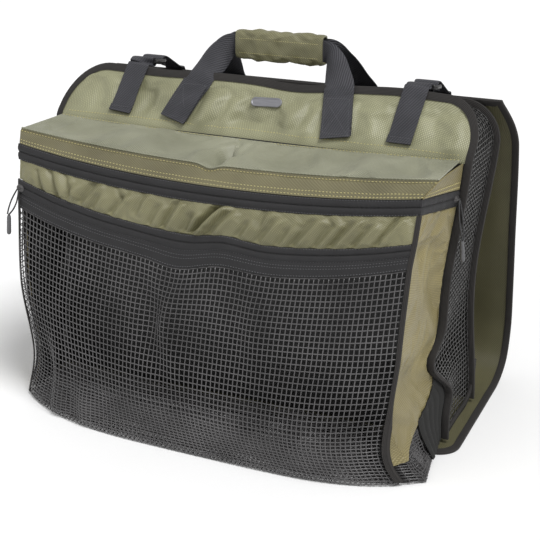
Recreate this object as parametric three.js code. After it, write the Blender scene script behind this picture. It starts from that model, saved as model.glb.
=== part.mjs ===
// A wader bag: a carry bag with a net front pocket, a mesh-sided rear compartment and a mat that hangs
// behind it and lies under it. Millimetres, +Z up, -Y is the front, +X is the viewer's right.
// Soft walls are thin closed sheets over worked-out surfaces. Sewn pieces keep a small gap.
import * as THREE from "three";

// Driving dimensions of the body.
const PANEL_WIDTH = 552; // main and back panels
const PANEL_HEIGHT = 408; // top edge of the main panel
const SHELF_HEIGHT = 350; // seam where the pocket's top meets the main panel
const PANEL_LEAN = 32; // the main panel's foot stands about this far in front of the shelf's seam
const YOKE_LEAN = 50; // how far its top edge leans back above the seam
const YOKE_SHIFT = 5; // how far the top edge has slumped to the right
const CORNER_RADIUS = 50; // rounded top corners of the panels
const SIDE_PULL = 11; // how far the sides are drawn in half way up
const REAR_DEPTH = 140; // from the shelf's seam to the top of the back panel
const BACK_HEIGHT = 385; // top edge of the back panel
const POCKET_HALF = 270; // half the pocket's width
const POCKET_DEPTH = 140; // scale of the pocket's reach to the front

// Walls and edge binding.
const PANEL_WALL = 2.2;
const POCKET_WALL = 1.6;
const NET_WALL = 1.8;
const MAT_WALL = 2.2;
const BINDING_WIDTH = 12;
const BINDING_WALL = 1;
const BINDING_LIP = 1.2; // how far the binding stands past the cloth's cut edge
const SEAM_GAP = 0.4; // between two pieces sewn edge to edge
const FACE_GAP = 0.35; // between a piece and the face that it lies on
const CORNER_GAP = 1.5; // from a corner's line to each of its two walls
const SEAM_INSET = 9; // side seams of the pocket, from the panels' side edges
const FOOT_CLEARANCE = 9; // foot of the upright panels above the ground

// The mat behind and under the bag.
const MAT_HALF = 291;
const MAT_TOP_HALF = 271;
const MAT_TAPER = 64; // length over which the mat widens below its top edge
const MAT_REACH = 203; // how far the mat's hanging fold reaches back
const MAT_FRONT = 62; // how far it reaches under the pocket

// Webbing, handles and straps.
const HANDLE_WEB = 38;
const STRAP_WEB = 30;
const WEB_WALL = 1.8;
const WEB_LIFT = 3.9; // middle of the webbing over the middle of a bound edge
const HANDLE_SPREAD = 109; // feet of the handles' legs, from the middle
const HANDLE_DRIFT = 17; // how far the legs lean inward up to the top edge
const STRAP_SPREAD = 187;
const HANDLE_REAR_LEG = 60; // how far its rear legs reach down the mat
const STRAP_REAR_LEG = 150;
const STRAP_FOOT = 6; // feet of the front straps and legs, above the shelf's seam
const GRIP_TUCK = 24; // inside the grip, both handles lie flat from here on

// The grip and the buckles stand over the line from the main panel's top edge to the back panel's.
// share: how far along that line. lift: height over it.
const WRAP = { length: 118, height: 38, depth: 20, wall: 2.2, corner: 5, x: 1, share: 0.444, lift: 43 };
const BUCKLE = { width: 40, length: 30, thickness: 5, bar: 4, hook: 5, share: 0.322, lift: 10.4, tilt: -0.1 };

// Small hardware.
const BADGE = { length: 42, height: 13, thickness: 1.6, bevel: 0.5, x: 5, up: 0.603 }; // up: over the yoke
const SLIDER = { length: 12, width: 9, thickness: 3.4 };
const PULL = { cord: 2, spread: 3.2, grip_length: 25, grip_radius: 2.6 };

// Colours, roughness and metalness.
const FINISHES = {
  olive: { color: 0x7d7c58, roughness: 0.72, metalness: 0 },
  olive_light: { color: 0x8a8a69, roughness: 0.68, metalness: 0 },
  binding: { color: 0x343130, roughness: 0.85, metalness: 0 },
  webbing: { color: 0x3c3b3d, roughness: 0.8, metalness: 0 },
  net: { color: 0x2a2829, roughness: 0.5, metalness: 0 },
  zip: { color: 0x302f31, roughness: 0.6, metalness: 0 },
  plastic: { color: 0x3a3735, roughness: 0.45, metalness: 0 },
  metal: { color: 0xb4b4b2, roughness: 0.35, metalness: 0.9 },
  plate: { color: 0x9a9a9c, roughness: 0.4, metalness: 0.5 },
  rubber: { color: 0x4a4a4a, roughness: 0.6, metalness: 0 },
};

// Rows of the pocket's skin, from the shelf's seam to the foot. Threes go from left over the middle to
// right, twos are left and right. corners: the corners' distance from the middle over POCKET_HALF. up:
// heights over SHELF_HEIGHT. ends: the same where the row meets the main panel. out: reach over
// POCKET_DEPTH.
const POCKET_ROWS = {
  seam: { corners: [0.985, 0.985], up: [1, 0.984, 1], ends: [1, 1], out: [0, 0, 0] },
  ridge: { corners: [0.995, 0.982], up: [1.006, 0.957, 1], ends: [1, 1], out: [0.66, 0.64, 0.63] },
  zip_top: { corners: [0.993, 0.925], up: [0.956, 0.898, 0.942], ends: [0.93, 0.905], out: [0.7, 0.75, 0.7] },
  zip_foot: { corners: [0.99, 0.923], up: [0.9, 0.842, 0.892], ends: [0.875, 0.852], out: [0.72, 0.78, 0.72] },
  band_top: { corners: [0.985, 0.92], up: [0.835, 0.735, 0.808], ends: [0.8, 0.78], out: [0.76, 0.87, 0.79] },
  band_foot: { corners: [0.985, 0.91], up: [0.735, 0.634, 0.728], ends: [0.7, 0.7], out: [0.79, 0.93, 0.84] },
  net_high: { corners: [1, 0.9], up: [0.44, 0.4, 0.45], ends: [0.44, 0.44], out: [0.8, 1.1, 0.96] },
  net_low: { corners: [0.95, 0.893], up: [0.17, 0.15, 0.17], ends: [0.18, 0.18], out: [0.82, 1.26, 1] },
  foot: { corners: [0.985, 1.04], up: [0.009, 0.007, 0.009], ends: [0.028, 0.028], out: [0.85, 1.27, 0.9] },
};

// Local rise and fall of single rows. at and wide: over POCKET_HALF. rise: over SHELF_HEIGHT.
const ROW_WAVES = [
  { name: "band_top", at: 0.13, rise: 0.018, wide: 0.12 },
  { name: "band_foot", at: -0.1, rise: -0.018, wide: 0.13 },
  { name: "band_foot", at: 0.13, rise: 0.018, wide: 0.16 },
];

// The dent in the pocket's flat top. at and wide: over POCKET_HALF. down: from its back edge.
const SHELF_DENT = { at: -0.08, down: 0.5, deep: 0.03, wide: 0.13, tall: 0.35 };

// Where each row stands in the list above.
const ROWS = Object.entries(POCKET_ROWS).map(([name, row]) => ({ name, ...row }));
const ROW = Object.fromEntries(ROWS.map((row, index) => [row.name, index]));
const HEEL = ROWS.length; // the floor ends here, at the main panel's foot

// Gathers between the two zips. at and wide: over POCKET_HALF. deep: over POCKET_DEPTH. slant: how far
// the fold's foot lies to one side.
const GATHERS = [
  { at: -0.86, deep: 0.03, wide: 0.03, slant: 0.02 },
  { at: -0.55, deep: 0.025, wide: 0.035, slant: 0.05 },
  { at: -0.2, deep: 0.045, wide: 0.03, slant: 0.03 },
  { at: 0.03, deep: 0.08, wide: 0.035, slant: -0.07 },
  { at: 0.28, deep: 0.025, wide: 0.035, slant: -0.06 },
  { at: 0.55, deep: 0.03, wide: 0.035, slant: -0.06 },
  { at: 0.82, deep: 0.035, wide: 0.03, slant: -0.06 },
];

// Dents of the yoke. at and wide: over half the panel's width. up and tall: over the yoke's height.
// deep: over PANEL_LEAN.
const YOKE_DENTS = [
  { at: -0.54, up: 0.45, deep: 0.14, wide: 0.06, tall: 0.3 },
  { at: -0.2, up: 0.5, deep: -0.14, wide: 0.06, tall: 0.3 },
  { at: 0.02, up: 0.12, deep: 0.14, wide: 0.12, tall: 0.2 },
  { at: 0.2, up: 0.5, deep: -0.14, wide: 0.06, tall: 0.3 },
];

// Waves of the main panel's top edge. at and wide: over half the width. rise: over PANEL_HEIGHT.
const TOP_WAVES = [
  { at: -0.55, rise: -0.006, wide: 0.2 },
  { at: 0.13, rise: -0.013, wide: 0.16 },
  { at: 0.62, rise: 0.007, wide: 0.16 },
];

// Lean of the main panel below the shelf's seam and of the back panel. up: share of SHELF_HEIGHT and
// BACK_HEIGHT. back: over PANEL_LEAN and REAR_DEPTH.
const MAIN_LEAN = [
  { up: 0, back: -1.1 },
  { up: 0.44, back: -0.94 },
  { up: 0.66, back: -0.78 },
  { up: 0.86, back: -0.38 },
  { up: 1, back: 0 },
];
const BACK_LEAN = [
  { up: 0, back: 0.586 },
  { up: 0.37, back: 0.636 },
  { up: 0.7, back: 0.8 },
  { up: 0.88, back: 0.92 },
  { up: 1, back: 1 },
  { up: 1.05, back: 1.033 },
];

// Side profile of the mat below its top edge. back: over MAT_REACH. up: over BACK_HEIGHT.
const MAT_PROFILE = [
  { back: 0.79, up: 0.91 },
  { back: 0.86, up: 0.77 },
  { back: 0.92, up: 0.52 },
  { back: 0.98, up: 0.3 },
  { back: 1, up: 0.16 },
  { back: 0.93, up: 0.055 },
  { back: 0.76, up: 0.012 },
];

const { lerp, clamp, smoothstep } = THREE.MathUtils;
const hump = (x) => Math.exp(-x * x);
const vector = (x, y, z) => new THREE.Vector3(x, y, z);
const steps = (from, to, count) => Array.from({ length: count + 1 }, (_, i) => lerp(from, to, i / count));
const boundHalf = (wall) => wall / 2 + FACE_GAP + BINDING_WALL;

// A smooth curve through one column of a table, over another.
function profileOf(table, from, to) {
  const curve = new THREE.CubicInterpolant(table.map((row) => row[from]), table.map((row) => row[to]), 1);
  return (at) => curve.evaluate(at)[0];
}

// The unit normal of a surface, from its two directions.
function normalOf(surface, a, b) {
  const small = 1e-3;
  const across = surface(a + small, b).sub(surface(a - small, b));
  const along = surface(a, b + small).sub(surface(a, b - small));
  return across.cross(along).normalize();
}

// A point over a surface, at a distance along its normal.
const over = (surface, a, b, lift) => surface(a, b).addScaledVector(normalOf(surface, a, b), lift);

// A geometry from points and triangles, turned so that its faces point out.
function closedGeometry(points, triangles) {
  let volume = 0;
  for (const [a, b, c] of triangles) volume += points[a].dot(points[b].clone().cross(points[c]));
  const facing = volume < 0 ? triangles.map(([a, b, c]) => [a, c, b]) : triangles;
  const geometry = new THREE.BufferGeometry().setFromPoints(points);
  geometry.setIndex(facing.flat());
  return geometry;
}

// A wall over a surface: half its thickness to each side of a grid of places. Cells for which isOpen
// is true are left out, and the wall is cut through there.
function wall({ surface, columns, rows, at, thickness, isOpen = () => false }) {
  const front = [];
  const back = [];
  for (let j = 0; j < rows; j++) {
    for (let i = 0; i < columns; i++) {
      const [a, b] = at(i, j);
      front.push(over(surface, a, b, thickness / 2));
      back.push(over(surface, a, b, -thickness / 2));
    }
  }
  const count = front.length;
  const triangles = [];
  const quad = (a, b, c, d) => triangles.push([a, b, c], [a, c, d]);
  const inside = (i, j) => i >= 0 && j >= 0 && i < columns - 1 && j < rows - 1;
  const solid = (i, j) => inside(i, j) && !isOpen(i, j);
  for (let j = 0; j < rows - 1; j++) {
    for (let i = 0; i < columns - 1; i++) {
      if (!solid(i, j)) continue;
      const a = j * columns + i;
      const b = a + 1;
      const c = b + columns;
      const d = a + columns;
      quad(a, b, c, d);
      quad(count + a, count + d, count + c, count + b);
      if (!solid(i, j - 1)) quad(a, count + a, count + b, b);
      if (!solid(i, j + 1)) quad(d, c, count + c, count + d);
      if (!solid(i - 1, j)) quad(a, d, count + d, count + a);
      if (!solid(i + 1, j)) quad(b, count + b, count + c, c);
    }
  }
  return closedGeometry([...front, ...back], triangles);
}

// A closed outline carried along stations, each of which turns an outline point into a place.
function sweep(stations, outline) {
  const size = outline.length;
  const points = stations.flatMap((place) => outline.map(([a, b]) => place(a, b)));
  const triangles = [];
  for (let j = 0; j < stations.length - 1; j++) {
    for (let i = 0; i < size; i++) {
      const a = j * size + i;
      const b = j * size + ((i + 1) % size);
      triangles.push([a, b, b + size], [a, b + size, a + size]);
    }
  }
  const flat = outline.map(([a, b]) => new THREE.Vector2(a, b));
  const last = (stations.length - 1) * size;
  const turned = THREE.ShapeUtils.isClockWise(flat);
  for (const [a, b, c] of THREE.ShapeUtils.triangulateShape(flat, [])) {
    const [p, q] = turned ? [c, b] : [b, c];
    triangles.push([a, q, p], [last + a, last + p, last + q]);
  }
  return closedGeometry(points, triangles);
}

// Half the width of an upright panel: drawn in half way up.
function panelHalf(height) {
  const share = clamp(height / SHELF_HEIGHT, 0, 1);
  return PANEL_WIDTH / 2 - SIDE_PULL * Math.sin(Math.PI * share) ** 2;
}

const mainBack = profileOf(MAIN_LEAN, "up", "back");
const rearBack = profileOf(BACK_LEAN, "up", "back");

// The main panel, with the dents of its yoke and the waves of its top edge.
function mainSurface(x, height) {
  const across = x / (PANEL_WIDTH / 2);
  const above = (height - SHELF_HEIGHT) / (PANEL_HEIGHT - SHELF_HEIGHT);
  const fade = smoothstep(above, 0, 0.2) * (1 - smoothstep(above, 0.45, 0.68));
  let dent = 0;
  for (const d of YOKE_DENTS) dent += d.deep * hump((across - d.at) / d.wide) * hump((above - d.up) / d.tall);
  let rise = 0;
  for (const w of TOP_WAVES) rise += w.rise * hump((across - w.at) / w.wide);
  const yoke = Math.max(0, above);
  const y = PANEL_LEAN * (mainBack(Math.min(height / SHELF_HEIGHT, 1)) + dent * fade) + YOKE_LEAN * yoke;
  return vector(x + YOKE_SHIFT * yoke, y, height + PANEL_HEIGHT * rise * smoothstep(above, 0, 1));
}

const backSurface = (x, height) => vector(x, REAR_DEPTH * rearBack(height / BACK_HEIGHT), height);

// The mat: a side profile from its top edge, down behind the bag and forward under it.
const matRest = boundHalf(MAT_WALL);
const matTop = REAR_DEPTH + boundHalf(PANEL_WALL) + 3 * FACE_GAP + matRest;
const matCurve = new THREE.CatmullRomCurve3(
  [
    vector(0, matTop, BACK_HEIGHT),
    ...MAT_PROFILE.map((p) => vector(0, MAT_REACH * p.back, BACK_HEIGHT * p.up)),
    vector(0, MAT_REACH / 2, matRest),
    vector(0, 0, matRest),
    vector(0, -MAT_FRONT, matRest),
  ],
  false,
  "centripetal",
);
matCurve.arcLengthDivisions = 400;
const MAT_LENGTH = matCurve.getLength();
const matRuns = [...steps(0, MAT_TAPER, 3), ...steps(MAT_TAPER, MAT_LENGTH, 20).slice(1)];

function matSurface(x, run) {
  const share = clamp(run / MAT_LENGTH, 0, 1);
  const past = run - share * MAT_LENGTH;
  const point = matCurve.getPointAt(share).addScaledVector(matCurve.getTangentAt(share), past);
  return vector(x, point.y, Math.max(point.z, matRest));
}

const matHalf = (run) => lerp(MAT_TOP_HALF, MAT_HALF, Math.sin((clamp(run / MAT_TAPER, 0, 1) * Math.PI) / 2));

// Outline of an upright panel, up one side, round the top corners and down the other. Each place has
// the direction into the panel.
const SIDE_STEPS = 9;
const MAIN_TOP_STEPS = 18;
const BACK_TOP_STEPS = 2;
const CORNER_STEPS = 4;

function uprightOutline(top, topSteps) {
  const right = steps(FOOT_CLEARANCE, top - CORNER_RADIUS, SIDE_STEPS).map((run) => ({
    x: panelHalf(run),
    run,
    inX: -1,
    inRun: 0,
  }));
  const shoulder = panelHalf(top) - CORNER_RADIUS;
  for (const angle of steps(0, Math.PI / 2, CORNER_STEPS).slice(1)) {
    const [c, s] = [Math.cos(angle), Math.sin(angle)];
    const run = top - CORNER_RADIUS * (1 - s);
    right.push({ x: shoulder + CORNER_RADIUS * c, run, inX: -c, inRun: -s });
  }
  const middle = steps(shoulder, -shoulder, topSteps).slice(1, -1);
  const left = right.map((p) => ({ ...p, x: -p.x, inX: -p.inX })).reverse();
  return [...right, ...middle.map((x) => ({ x, run: top, inX: 0, inRun: -1 })), ...left];
}

// Outline of the mat, all round, from the middle of its front edge and back to it.
function matOutline() {
  const side = (sign, inRun, run) => ({ x: sign * matHalf(run), run, inX: -sign, inRun });
  const half = (sign) => [
    { x: (sign * SEAM_GAP) / 2, run: MAT_LENGTH, inX: 0, inRun: -1 },
    side(sign, -1, MAT_LENGTH),
    ...matRuns.slice(1, -1).reverse().map((run) => side(sign, 0, run)),
    side(sign, 1, 0),
  ];
  return [...half(1), ...half(-1).reverse()];
}

// Edge binding: a tape folded over a panel's edge, a U that follows the panel's surface.
function binding(surface, outline, thickness) {
  const outer = boundHalf(thickness);
  const inner = outer - BINDING_WALL;
  const section = [
    [BINDING_WIDTH, outer],
    [-BINDING_LIP, outer],
    [-BINDING_LIP, -outer],
    [BINDING_WIDTH, -outer],
    [BINDING_WIDTH, -inner],
    [0, -inner],
    [0, inner],
    [BINDING_WIDTH, inner],
  ];
  const stations = outline.map((edge) => (inset, lift) =>
    over(surface, edge.x + edge.inX * inset, edge.run + edge.inRun * inset, lift));
  return sweep(stations, section);
}

// The cloth of an upright panel, inside its binding.
function uprightPanel(surface, top, columns) {
  const shoulder = top - CORNER_RADIUS;
  const round = CORNER_RADIUS - SEAM_GAP;
  const angles = steps(0, Math.PI / 2, CORNER_STEPS).slice(1);
  const runs = [
    ...steps(FOOT_CLEARANCE, shoulder, SIDE_STEPS),
    ...angles.map((angle) => shoulder + round * Math.sin(angle)),
  ];
  const half = (run) => {
    const above = Math.min(round, Math.max(0, run - shoulder));
    return panelHalf(run) - CORNER_RADIUS + Math.sqrt(round * round - above * above);
  };
  return wall({
    surface,
    columns: columns + 1,
    rows: runs.length,
    at: (i, j) => [half(runs[j]) * lerp(-1, 1, i / columns), runs[j]],
    thickness: PANEL_WALL,
  });
}

function matCloth() {
  const runs = matRuns.map((run) => clamp(run, SEAM_GAP, MAT_LENGTH - SEAM_GAP));
  return wall({
    surface: matSurface,
    columns: 3,
    rows: runs.length,
    at: (i, j) => [(matHalf(matRuns[j]) - SEAM_GAP) * (i - 1), runs[j]],
    thickness: MAT_WALL,
  });
}

// Mesh band between the two upright panels. Its grid runs along the panels' outline and across.
function rearMesh() {
  const standoff = boundHalf(PANEL_WALL) + 5 * SEAM_GAP;
  const inset = BINDING_WIDTH / 2;
  const edgeOf = (surface, top, lift) => {
    const places = uprightOutline(top, MAIN_TOP_STEPS).map((edge) =>
      over(surface, edge.x + edge.inX * inset, edge.run + edge.inRun * inset, lift));
    return new THREE.CatmullRomCurve3(places, false, "centripetal");
  };
  const front = edgeOf(mainSurface, PANEL_HEIGHT, -standoff);
  const back = edgeOf(backSurface, BACK_HEIGHT, standoff);
  const surface = (along, across) => {
    const share = clamp(along, 0, 1);
    return front.getPointAt(share).lerp(back.getPointAt(share), across);
  };
  const alongs = netLines(0, 1, 18, 0.22);
  const acrosses = netLines(0, 1, 2, 0.16);
  return wall({
    surface,
    columns: alongs.length,
    rows: acrosses.length,
    at: (i, j) => [alongs[i], acrosses[j]],
    thickness: NET_WALL,
    isOpen: (i, j) => i % 2 === 1 && j % 2 === 1,
  });
}

// Lines of a net: a web, then a gap and a web for each mesh. web is its share of the pitch.
function netLines(from, to, meshes, web) {
  const pitch = 1 / (meshes + web);
  const lines = steps(0, meshes, meshes).flatMap((k) => [k * pitch, (k + web) * pitch]);
  return lines.map((share) => lerp(from, to, share));
}

// A place on one row of the pocket's front, from its left corner at -1 to its right one at 1.
function rowPoint(row, across) {
  const side = (across + 1) / 2;
  const bow = ([left, mid, right], share) => lerp(left, right, side) + (mid - (left + right) / 2) * share;
  const out = bow(row.out, 1 - across ** 4);
  let up = bow(row.up, 1 - across ** 2);
  for (const w of ROW_WAVES) if (w.name === row.name) up += w.rise * hump((across - w.at) / w.wide);
  const x = POCKET_HALF * lerp(-row.corners[0], row.corners[1], side);
  return vector(x, POCKET_SEAM_Y - POCKET_DEPTH * out, SHELF_HEIGHT * up);
}

const POCKET_SEAM_Y = -(boundHalf(PANEL_WALL) + 3 * SEAM_GAP);

// Where the skin ends, in front of the main panel's binding. down counts the rows.
function sideEnd(down, sign) {
  const index = clamp(Math.floor(down), 0, ROW.foot - 1);
  const ends = ROWS.map((row) => row.ends[sign < 0 ? 0 : 1]);
  const height = SHELF_HEIGHT * lerp(ends[index], ends[index + 1], down - index);
  const y = PANEL_LEAN * mainBack(height / SHELF_HEIGHT) + POCKET_SEAM_Y;
  return vector(sign * (panelHalf(height) - SEAM_INSET), y, height);
}

// The pocket's front and floor: straight between the rows to the net's top, a curve over the net, and
// straight again over the floor.
function frontSkin(across, down) {
  if (down > ROW.foot) {
    const heel = sideEnd(ROW.foot, 1);
    return rowPoint(ROWS[ROW.foot], across).lerp(heel.setX(heel.x * across), down - ROW.foot);
  }
  if (down > ROW.band_foot) {
    const rows = ROWS.slice(ROW.band_foot);
    const curve = new THREE.CatmullRomCurve3(rows.map((row) => rowPoint(row, across)));
    return curve.getPoint((down - ROW.band_foot) / (ROW.foot - ROW.band_foot));
  }
  const index = clamp(Math.floor(down), 0, ROW.band_foot - 1);
  const upper = rowPoint(ROWS[index], across);
  return upper.lerp(rowPoint(ROWS[index + 1], across), down - index);
}

// The pocket's whole skin. across runs from -1 to 1 over the front, and on to -2 and 2 over the two
// sides to the main panel. Its outward side is against its normal.
function skin(across, down) {
  const front = frontSkin(clamp(across, -1, 1), down);
  const past = Math.abs(across) - 1;
  return past <= 0 ? front : front.lerp(sideEnd(down, Math.sign(across)), past);
}

// The skin between the two zips, with its gathers pressed in. They fade towards both zips.
function gatheredSkin(across, down) {
  const share = clamp(down - ROW.zip_foot, 0, 1);
  const fade = Math.sin(Math.PI * share) ** 2;
  let deep = -0.02;
  for (const g of GATHERS) deep += g.deep * hump((across - g.at - g.slant * share) / g.wide);
  const point = skin(across, down);
  point.y += POCKET_DEPTH * deep * fade;
  return point;
}

// The pocket's top with its dent, which fades at its seams.
function dentedSkin(across, down) {
  const d = SHELF_DENT;
  const point = skin(across, down);
  const fade = Math.sin(Math.PI * clamp(down, 0, 1)) ** 2;
  point.z -= SHELF_HEIGHT * d.deep * hump((across - d.at) / d.wide) * hump((down - d.down) / d.tall) * fade;
  return point;
}

// A piece of the pocket's skin over lists of places. Its edges keep topGap and footGap, in
// millimetres, from the rows that they follow.
function skinPiece({ surface = skin, acrosses, downs, topGap, footGap, thickness = POCKET_WALL, isOpen }) {
  const first = downs[0];
  const last = downs[downs.length - 1];
  const down = (across, j) => {
    if (j === 0) return first + topGap / skin(across, first).distanceTo(skin(across, first + 1));
    if (j < downs.length - 1) return downs[j];
    return last - footGap / skin(across, last).distanceTo(skin(across, last - 1));
  };
  return wall({
    surface,
    columns: acrosses.length,
    rows: downs.length,
    at: (i, j) => [acrosses[i], down(acrosses[i], j)],
    thickness,
    isOpen,
  });
}

const FRONT_EDGE = 1 - CORNER_GAP / POCKET_HALF;
const NET_COLUMNS = netLines(-FRONT_EDGE, FRONT_EDGE, 13, 0.2);
const SIDE_EDGE = 1 + CORNER_GAP / (POCKET_DEPTH * 0.7);
const halfGap = SEAM_GAP / 2;

const pocketTop = () =>
  skinPiece({
    surface: dentedSkin,
    acrosses: steps(-FRONT_EDGE, FRONT_EDGE, 16),
    downs: [...steps(ROW.seam, ROW.ridge, 4), ...steps(ROW.ridge, ROW.zip_top, 2).slice(1)],
    topGap: 0,
    footGap: halfGap,
  });

const pocketZip = () =>
  skinPiece({
    acrosses: [...steps(-2, -1, 3), ...steps(-1, 1, 16).slice(1), ...steps(1, 2, 3).slice(1)],
    downs: [ROW.zip_top, ROW.zip_foot],
    topGap: halfGap,
    footGap: halfGap,
  });

const pleatedPanel = () =>
  skinPiece({
    surface: gatheredSkin,
    acrosses: steps(-FRONT_EDGE, FRONT_EDGE, 40),
    downs: steps(ROW.zip_foot, ROW.band_top, 4),
    topGap: halfGap,
    footGap: halfGap,
  });

const netZip = () =>
  skinPiece({
    acrosses: NET_COLUMNS,
    downs: steps(ROW.band_top, ROW.band_foot, 2),
    topGap: 1.5 * SEAM_GAP,
    footGap: halfGap,
  });

// The net: meshes over the front, closed over the floor.
function frontNet() {
  const rows = 6;
  return skinPiece({
    acrosses: NET_COLUMNS,
    downs: [...netLines(ROW.band_foot, ROW.foot, rows, 0.22), ...steps(ROW.foot, HEEL, 2).slice(1)],
    topGap: halfGap,
    footGap: CORNER_GAP,
    thickness: NET_WALL,
    isOpen: (i, j) => i % 2 === 1 && j % 2 === 1 && j < 2 * rows,
  });
}

const gussetTop = (sign) =>
  skinPiece({
    acrosses: steps(SIDE_EDGE, 2, 2).map((across) => across * sign),
    downs: [ROW.ridge, ROW.zip_top],
    topGap: 1.6 * CORNER_GAP,
    footGap: halfGap,
  });

const gusset = (sign) =>
  skinPiece({
    acrosses: steps(SIDE_EDGE, 2, 3).map((across) => across * sign),
    downs: steps(ROW.zip_foot, ROW.foot, 10),
    topGap: halfGap,
    footGap: CORNER_GAP,
  });

const FACING_ARM = 15; // length of the arrows that steer the webbing's twist

// Webbing along a route of places, each of which also has the direction that the flat side faces.
function webbing(route, widthAt, count) {
  const curveOf = (places) => new THREE.CatmullRomCurve3(places, false, "centripetal");
  const middle = curveOf(route.map(({ point }) => point));
  const tips = curveOf(route.map(({ point, facing }) => point.clone().addScaledVector(facing, FACING_ARM)));
  const surface = (side, along) => {
    const share = clamp(along, 0, 1);
    const point = middle.getPoint(share);
    const tangent = middle.getTangent(share);
    const flat = tips.getPoint(share).sub(point).projectOnPlane(tangent).normalize();
    return point.clone().addScaledVector(flat.cross(tangent), side * widthAt(point));
  };
  const at = (i, j) => [i - 0.5, j / count];
  return wall({ surface, columns: 2, rows: count + 1, at, thickness: WEB_WALL });
}

// Webbing flat on a cloth, at a distance over the middle of it.
const flatOn = (surface, x, run, lift = WEB_LIFT) => ({
  point: over(surface, x, run, lift),
  facing: normalOf(surface, x, run),
});

// Webbing over a bound edge: flat on the cloth, then round the edge's top, which lies toward sign.
function overEdge(surface, x, top, sign) {
  const normal = normalOf(surface, x, top);
  const up = surface(x, top + sign * 1e-2).sub(surface(x, top)).normalize();
  const turned = (rise, lift, share) => ({
    point: surface(x, top).addScaledVector(up, rise).addScaledVector(normal, lift),
    facing: normal.clone().multiplyScalar(1 - share).addScaledVector(up, share).normalize(),
  });
  return [turned(-2, WEB_LIFT * 1.1, 0), turned(5, WEB_LIFT * 0.85, 0.45), turned(7.2, -WEB_LIFT * 0.3, 0.8)];
}

// The middle of the grip or of a buckle, over the two panels' top edges.
function overBag(piece, x) {
  const y = lerp(YOKE_LEAN, REAR_DEPTH, piece.share);
  return vector(x, y, lerp(PANEL_HEIGHT, BACK_HEIGHT, piece.share) + piece.lift);
}

const gripMiddle = overBag(WRAP, WRAP.x);

// A carrying handle: from one sewn leg, through the grip and down to the other leg.
function handle(surface, legRuns, top, sign, facing) {
  const beside = facing.y * (WRAP.depth / 2 - WRAP.wall - FACE_GAP - WEB_WALL / 2);
  const inGrip = (away) => ({ point: gripMiddle.clone().add(vector(away, beside, 0)), facing });
  const leg = (side) => {
    const crest = side * (HANDLE_SPREAD - HANDLE_DRIFT);
    const end = inGrip(side * (WRAP.length / 2 + 14));
    end.facing = vector(-side * 0.6, facing.y, 0).normalize();
    const edge = overEdge(surface, crest, top, sign);
    const last = edge[edge.length - 1];
    const drifted = (index) => side * (HANDLE_SPREAD - (HANDLE_DRIFT * index) / legRuns.length);
    const between = {
      point: last.point.clone().lerp(end.point, 0.52).add(vector(0, 0, 3)),
      facing: last.facing.clone().lerp(end.facing, 0.5).normalize(),
    };
    return [
      ...legRuns.map((run, index) => flatOn(surface, drifted(index), run)),
      ...edge,
      between,
      end,
      inGrip(side * (WRAP.length / 2 + 3)),
      inGrip(side * (WRAP.length / 2 - GRIP_TUCK)),
    ];
  };
  const tight = WRAP.height - 2 * WRAP.corner;
  const widthAt = (point) => {
    const away = Math.abs(point.x - gripMiddle.x) - WRAP.length / 2;
    return lerp(tight, HANDLE_WEB, smoothstep(away, 3, 18));
  };
  return webbing([...leg(-1), inGrip(0), ...leg(1).reverse()], widthAt, 50);
}

// A place in a buckle's own frame: along it to the back, and up through it.
function buckleFrame(sign) {
  const place = new THREE.Matrix4().makeRotationX(BUCKLE.tilt);
  return place.setPosition(overBag(BUCKLE, sign * STRAP_SPREAD + YOKE_SHIFT));
}

// A side strap: flat on its cloth, over the bound edge and hooked round one bar of the buckle.
function sideStrap(surface, x, runs, top, runSign, sign, barSign) {
  const frame = buckleFrame(sign);
  const bar = (BUCKLE.length - BUCKLE.bar) / 2;
  const around = (angle, past = 0) => {
    const facing = vector(0, -barSign * Math.cos(angle), Math.sin(angle)).transformDirection(frame);
    const along = barSign * (bar + past - BUCKLE.hook * Math.cos(angle));
    return { point: vector(0, along, BUCKLE.hook * Math.sin(angle)).applyMatrix4(frame), facing };
  };
  const route = [
    ...runs.map((run) => flatOn(surface, x, run)),
    ...overEdge(surface, x, top, runSign),
    around(Math.PI / 2, BUCKLE.hook),
    ...steps(Math.PI / 2, -Math.PI / 2, 6).map((angle) => around(angle)),
    around(-Math.PI / 2, 3),
  ];
  return webbing(route, () => STRAP_WEB, 38);
}

// A rectangle with rounded corners, as a shape or as a hole.
function roundedRect(path, width, height, radius, x = 0, y = 0) {
  const [w, h] = [width / 2 - radius, height / 2 - radius];
  path.moveTo(x + w + radius, y - h);
  path.absarc(x + w, y + h, radius, 0, Math.PI / 2);
  path.absarc(x - w, y + h, radius, Math.PI / 2, Math.PI);
  path.absarc(x - w, y - h, radius, Math.PI, 1.5 * Math.PI);
  path.absarc(x + w, y - h, radius, 1.5 * Math.PI, 2 * Math.PI);
  return path;
}

function extrude(shape, depth, extra = {}) {
  const geometry = new THREE.ExtrudeGeometry(shape, { depth, bevelEnabled: false, curveSegments: 3, ...extra });
  return geometry.translate(0, 0, -depth / 2);
}

// The padded grip: a closed sleeve round both handles.
function wrapSleeve() {
  const shape = roundedRect(new THREE.Shape(), WRAP.depth, WRAP.height, WRAP.corner);
  const [depth, height] = [WRAP.depth - 2 * WRAP.wall, WRAP.height - 2 * WRAP.wall];
  shape.holes.push(roundedRect(new THREE.Path(), depth, height, WRAP.corner - WRAP.wall));
  const turn = new THREE.Matrix4().makeBasis(vector(0, 1, 0), vector(0, 0, 1), vector(1, 0, 0));
  return extrude(shape, WRAP.length, { curveSegments: 4 }).applyMatrix4(turn.setPosition(gripMiddle));
}

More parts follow.
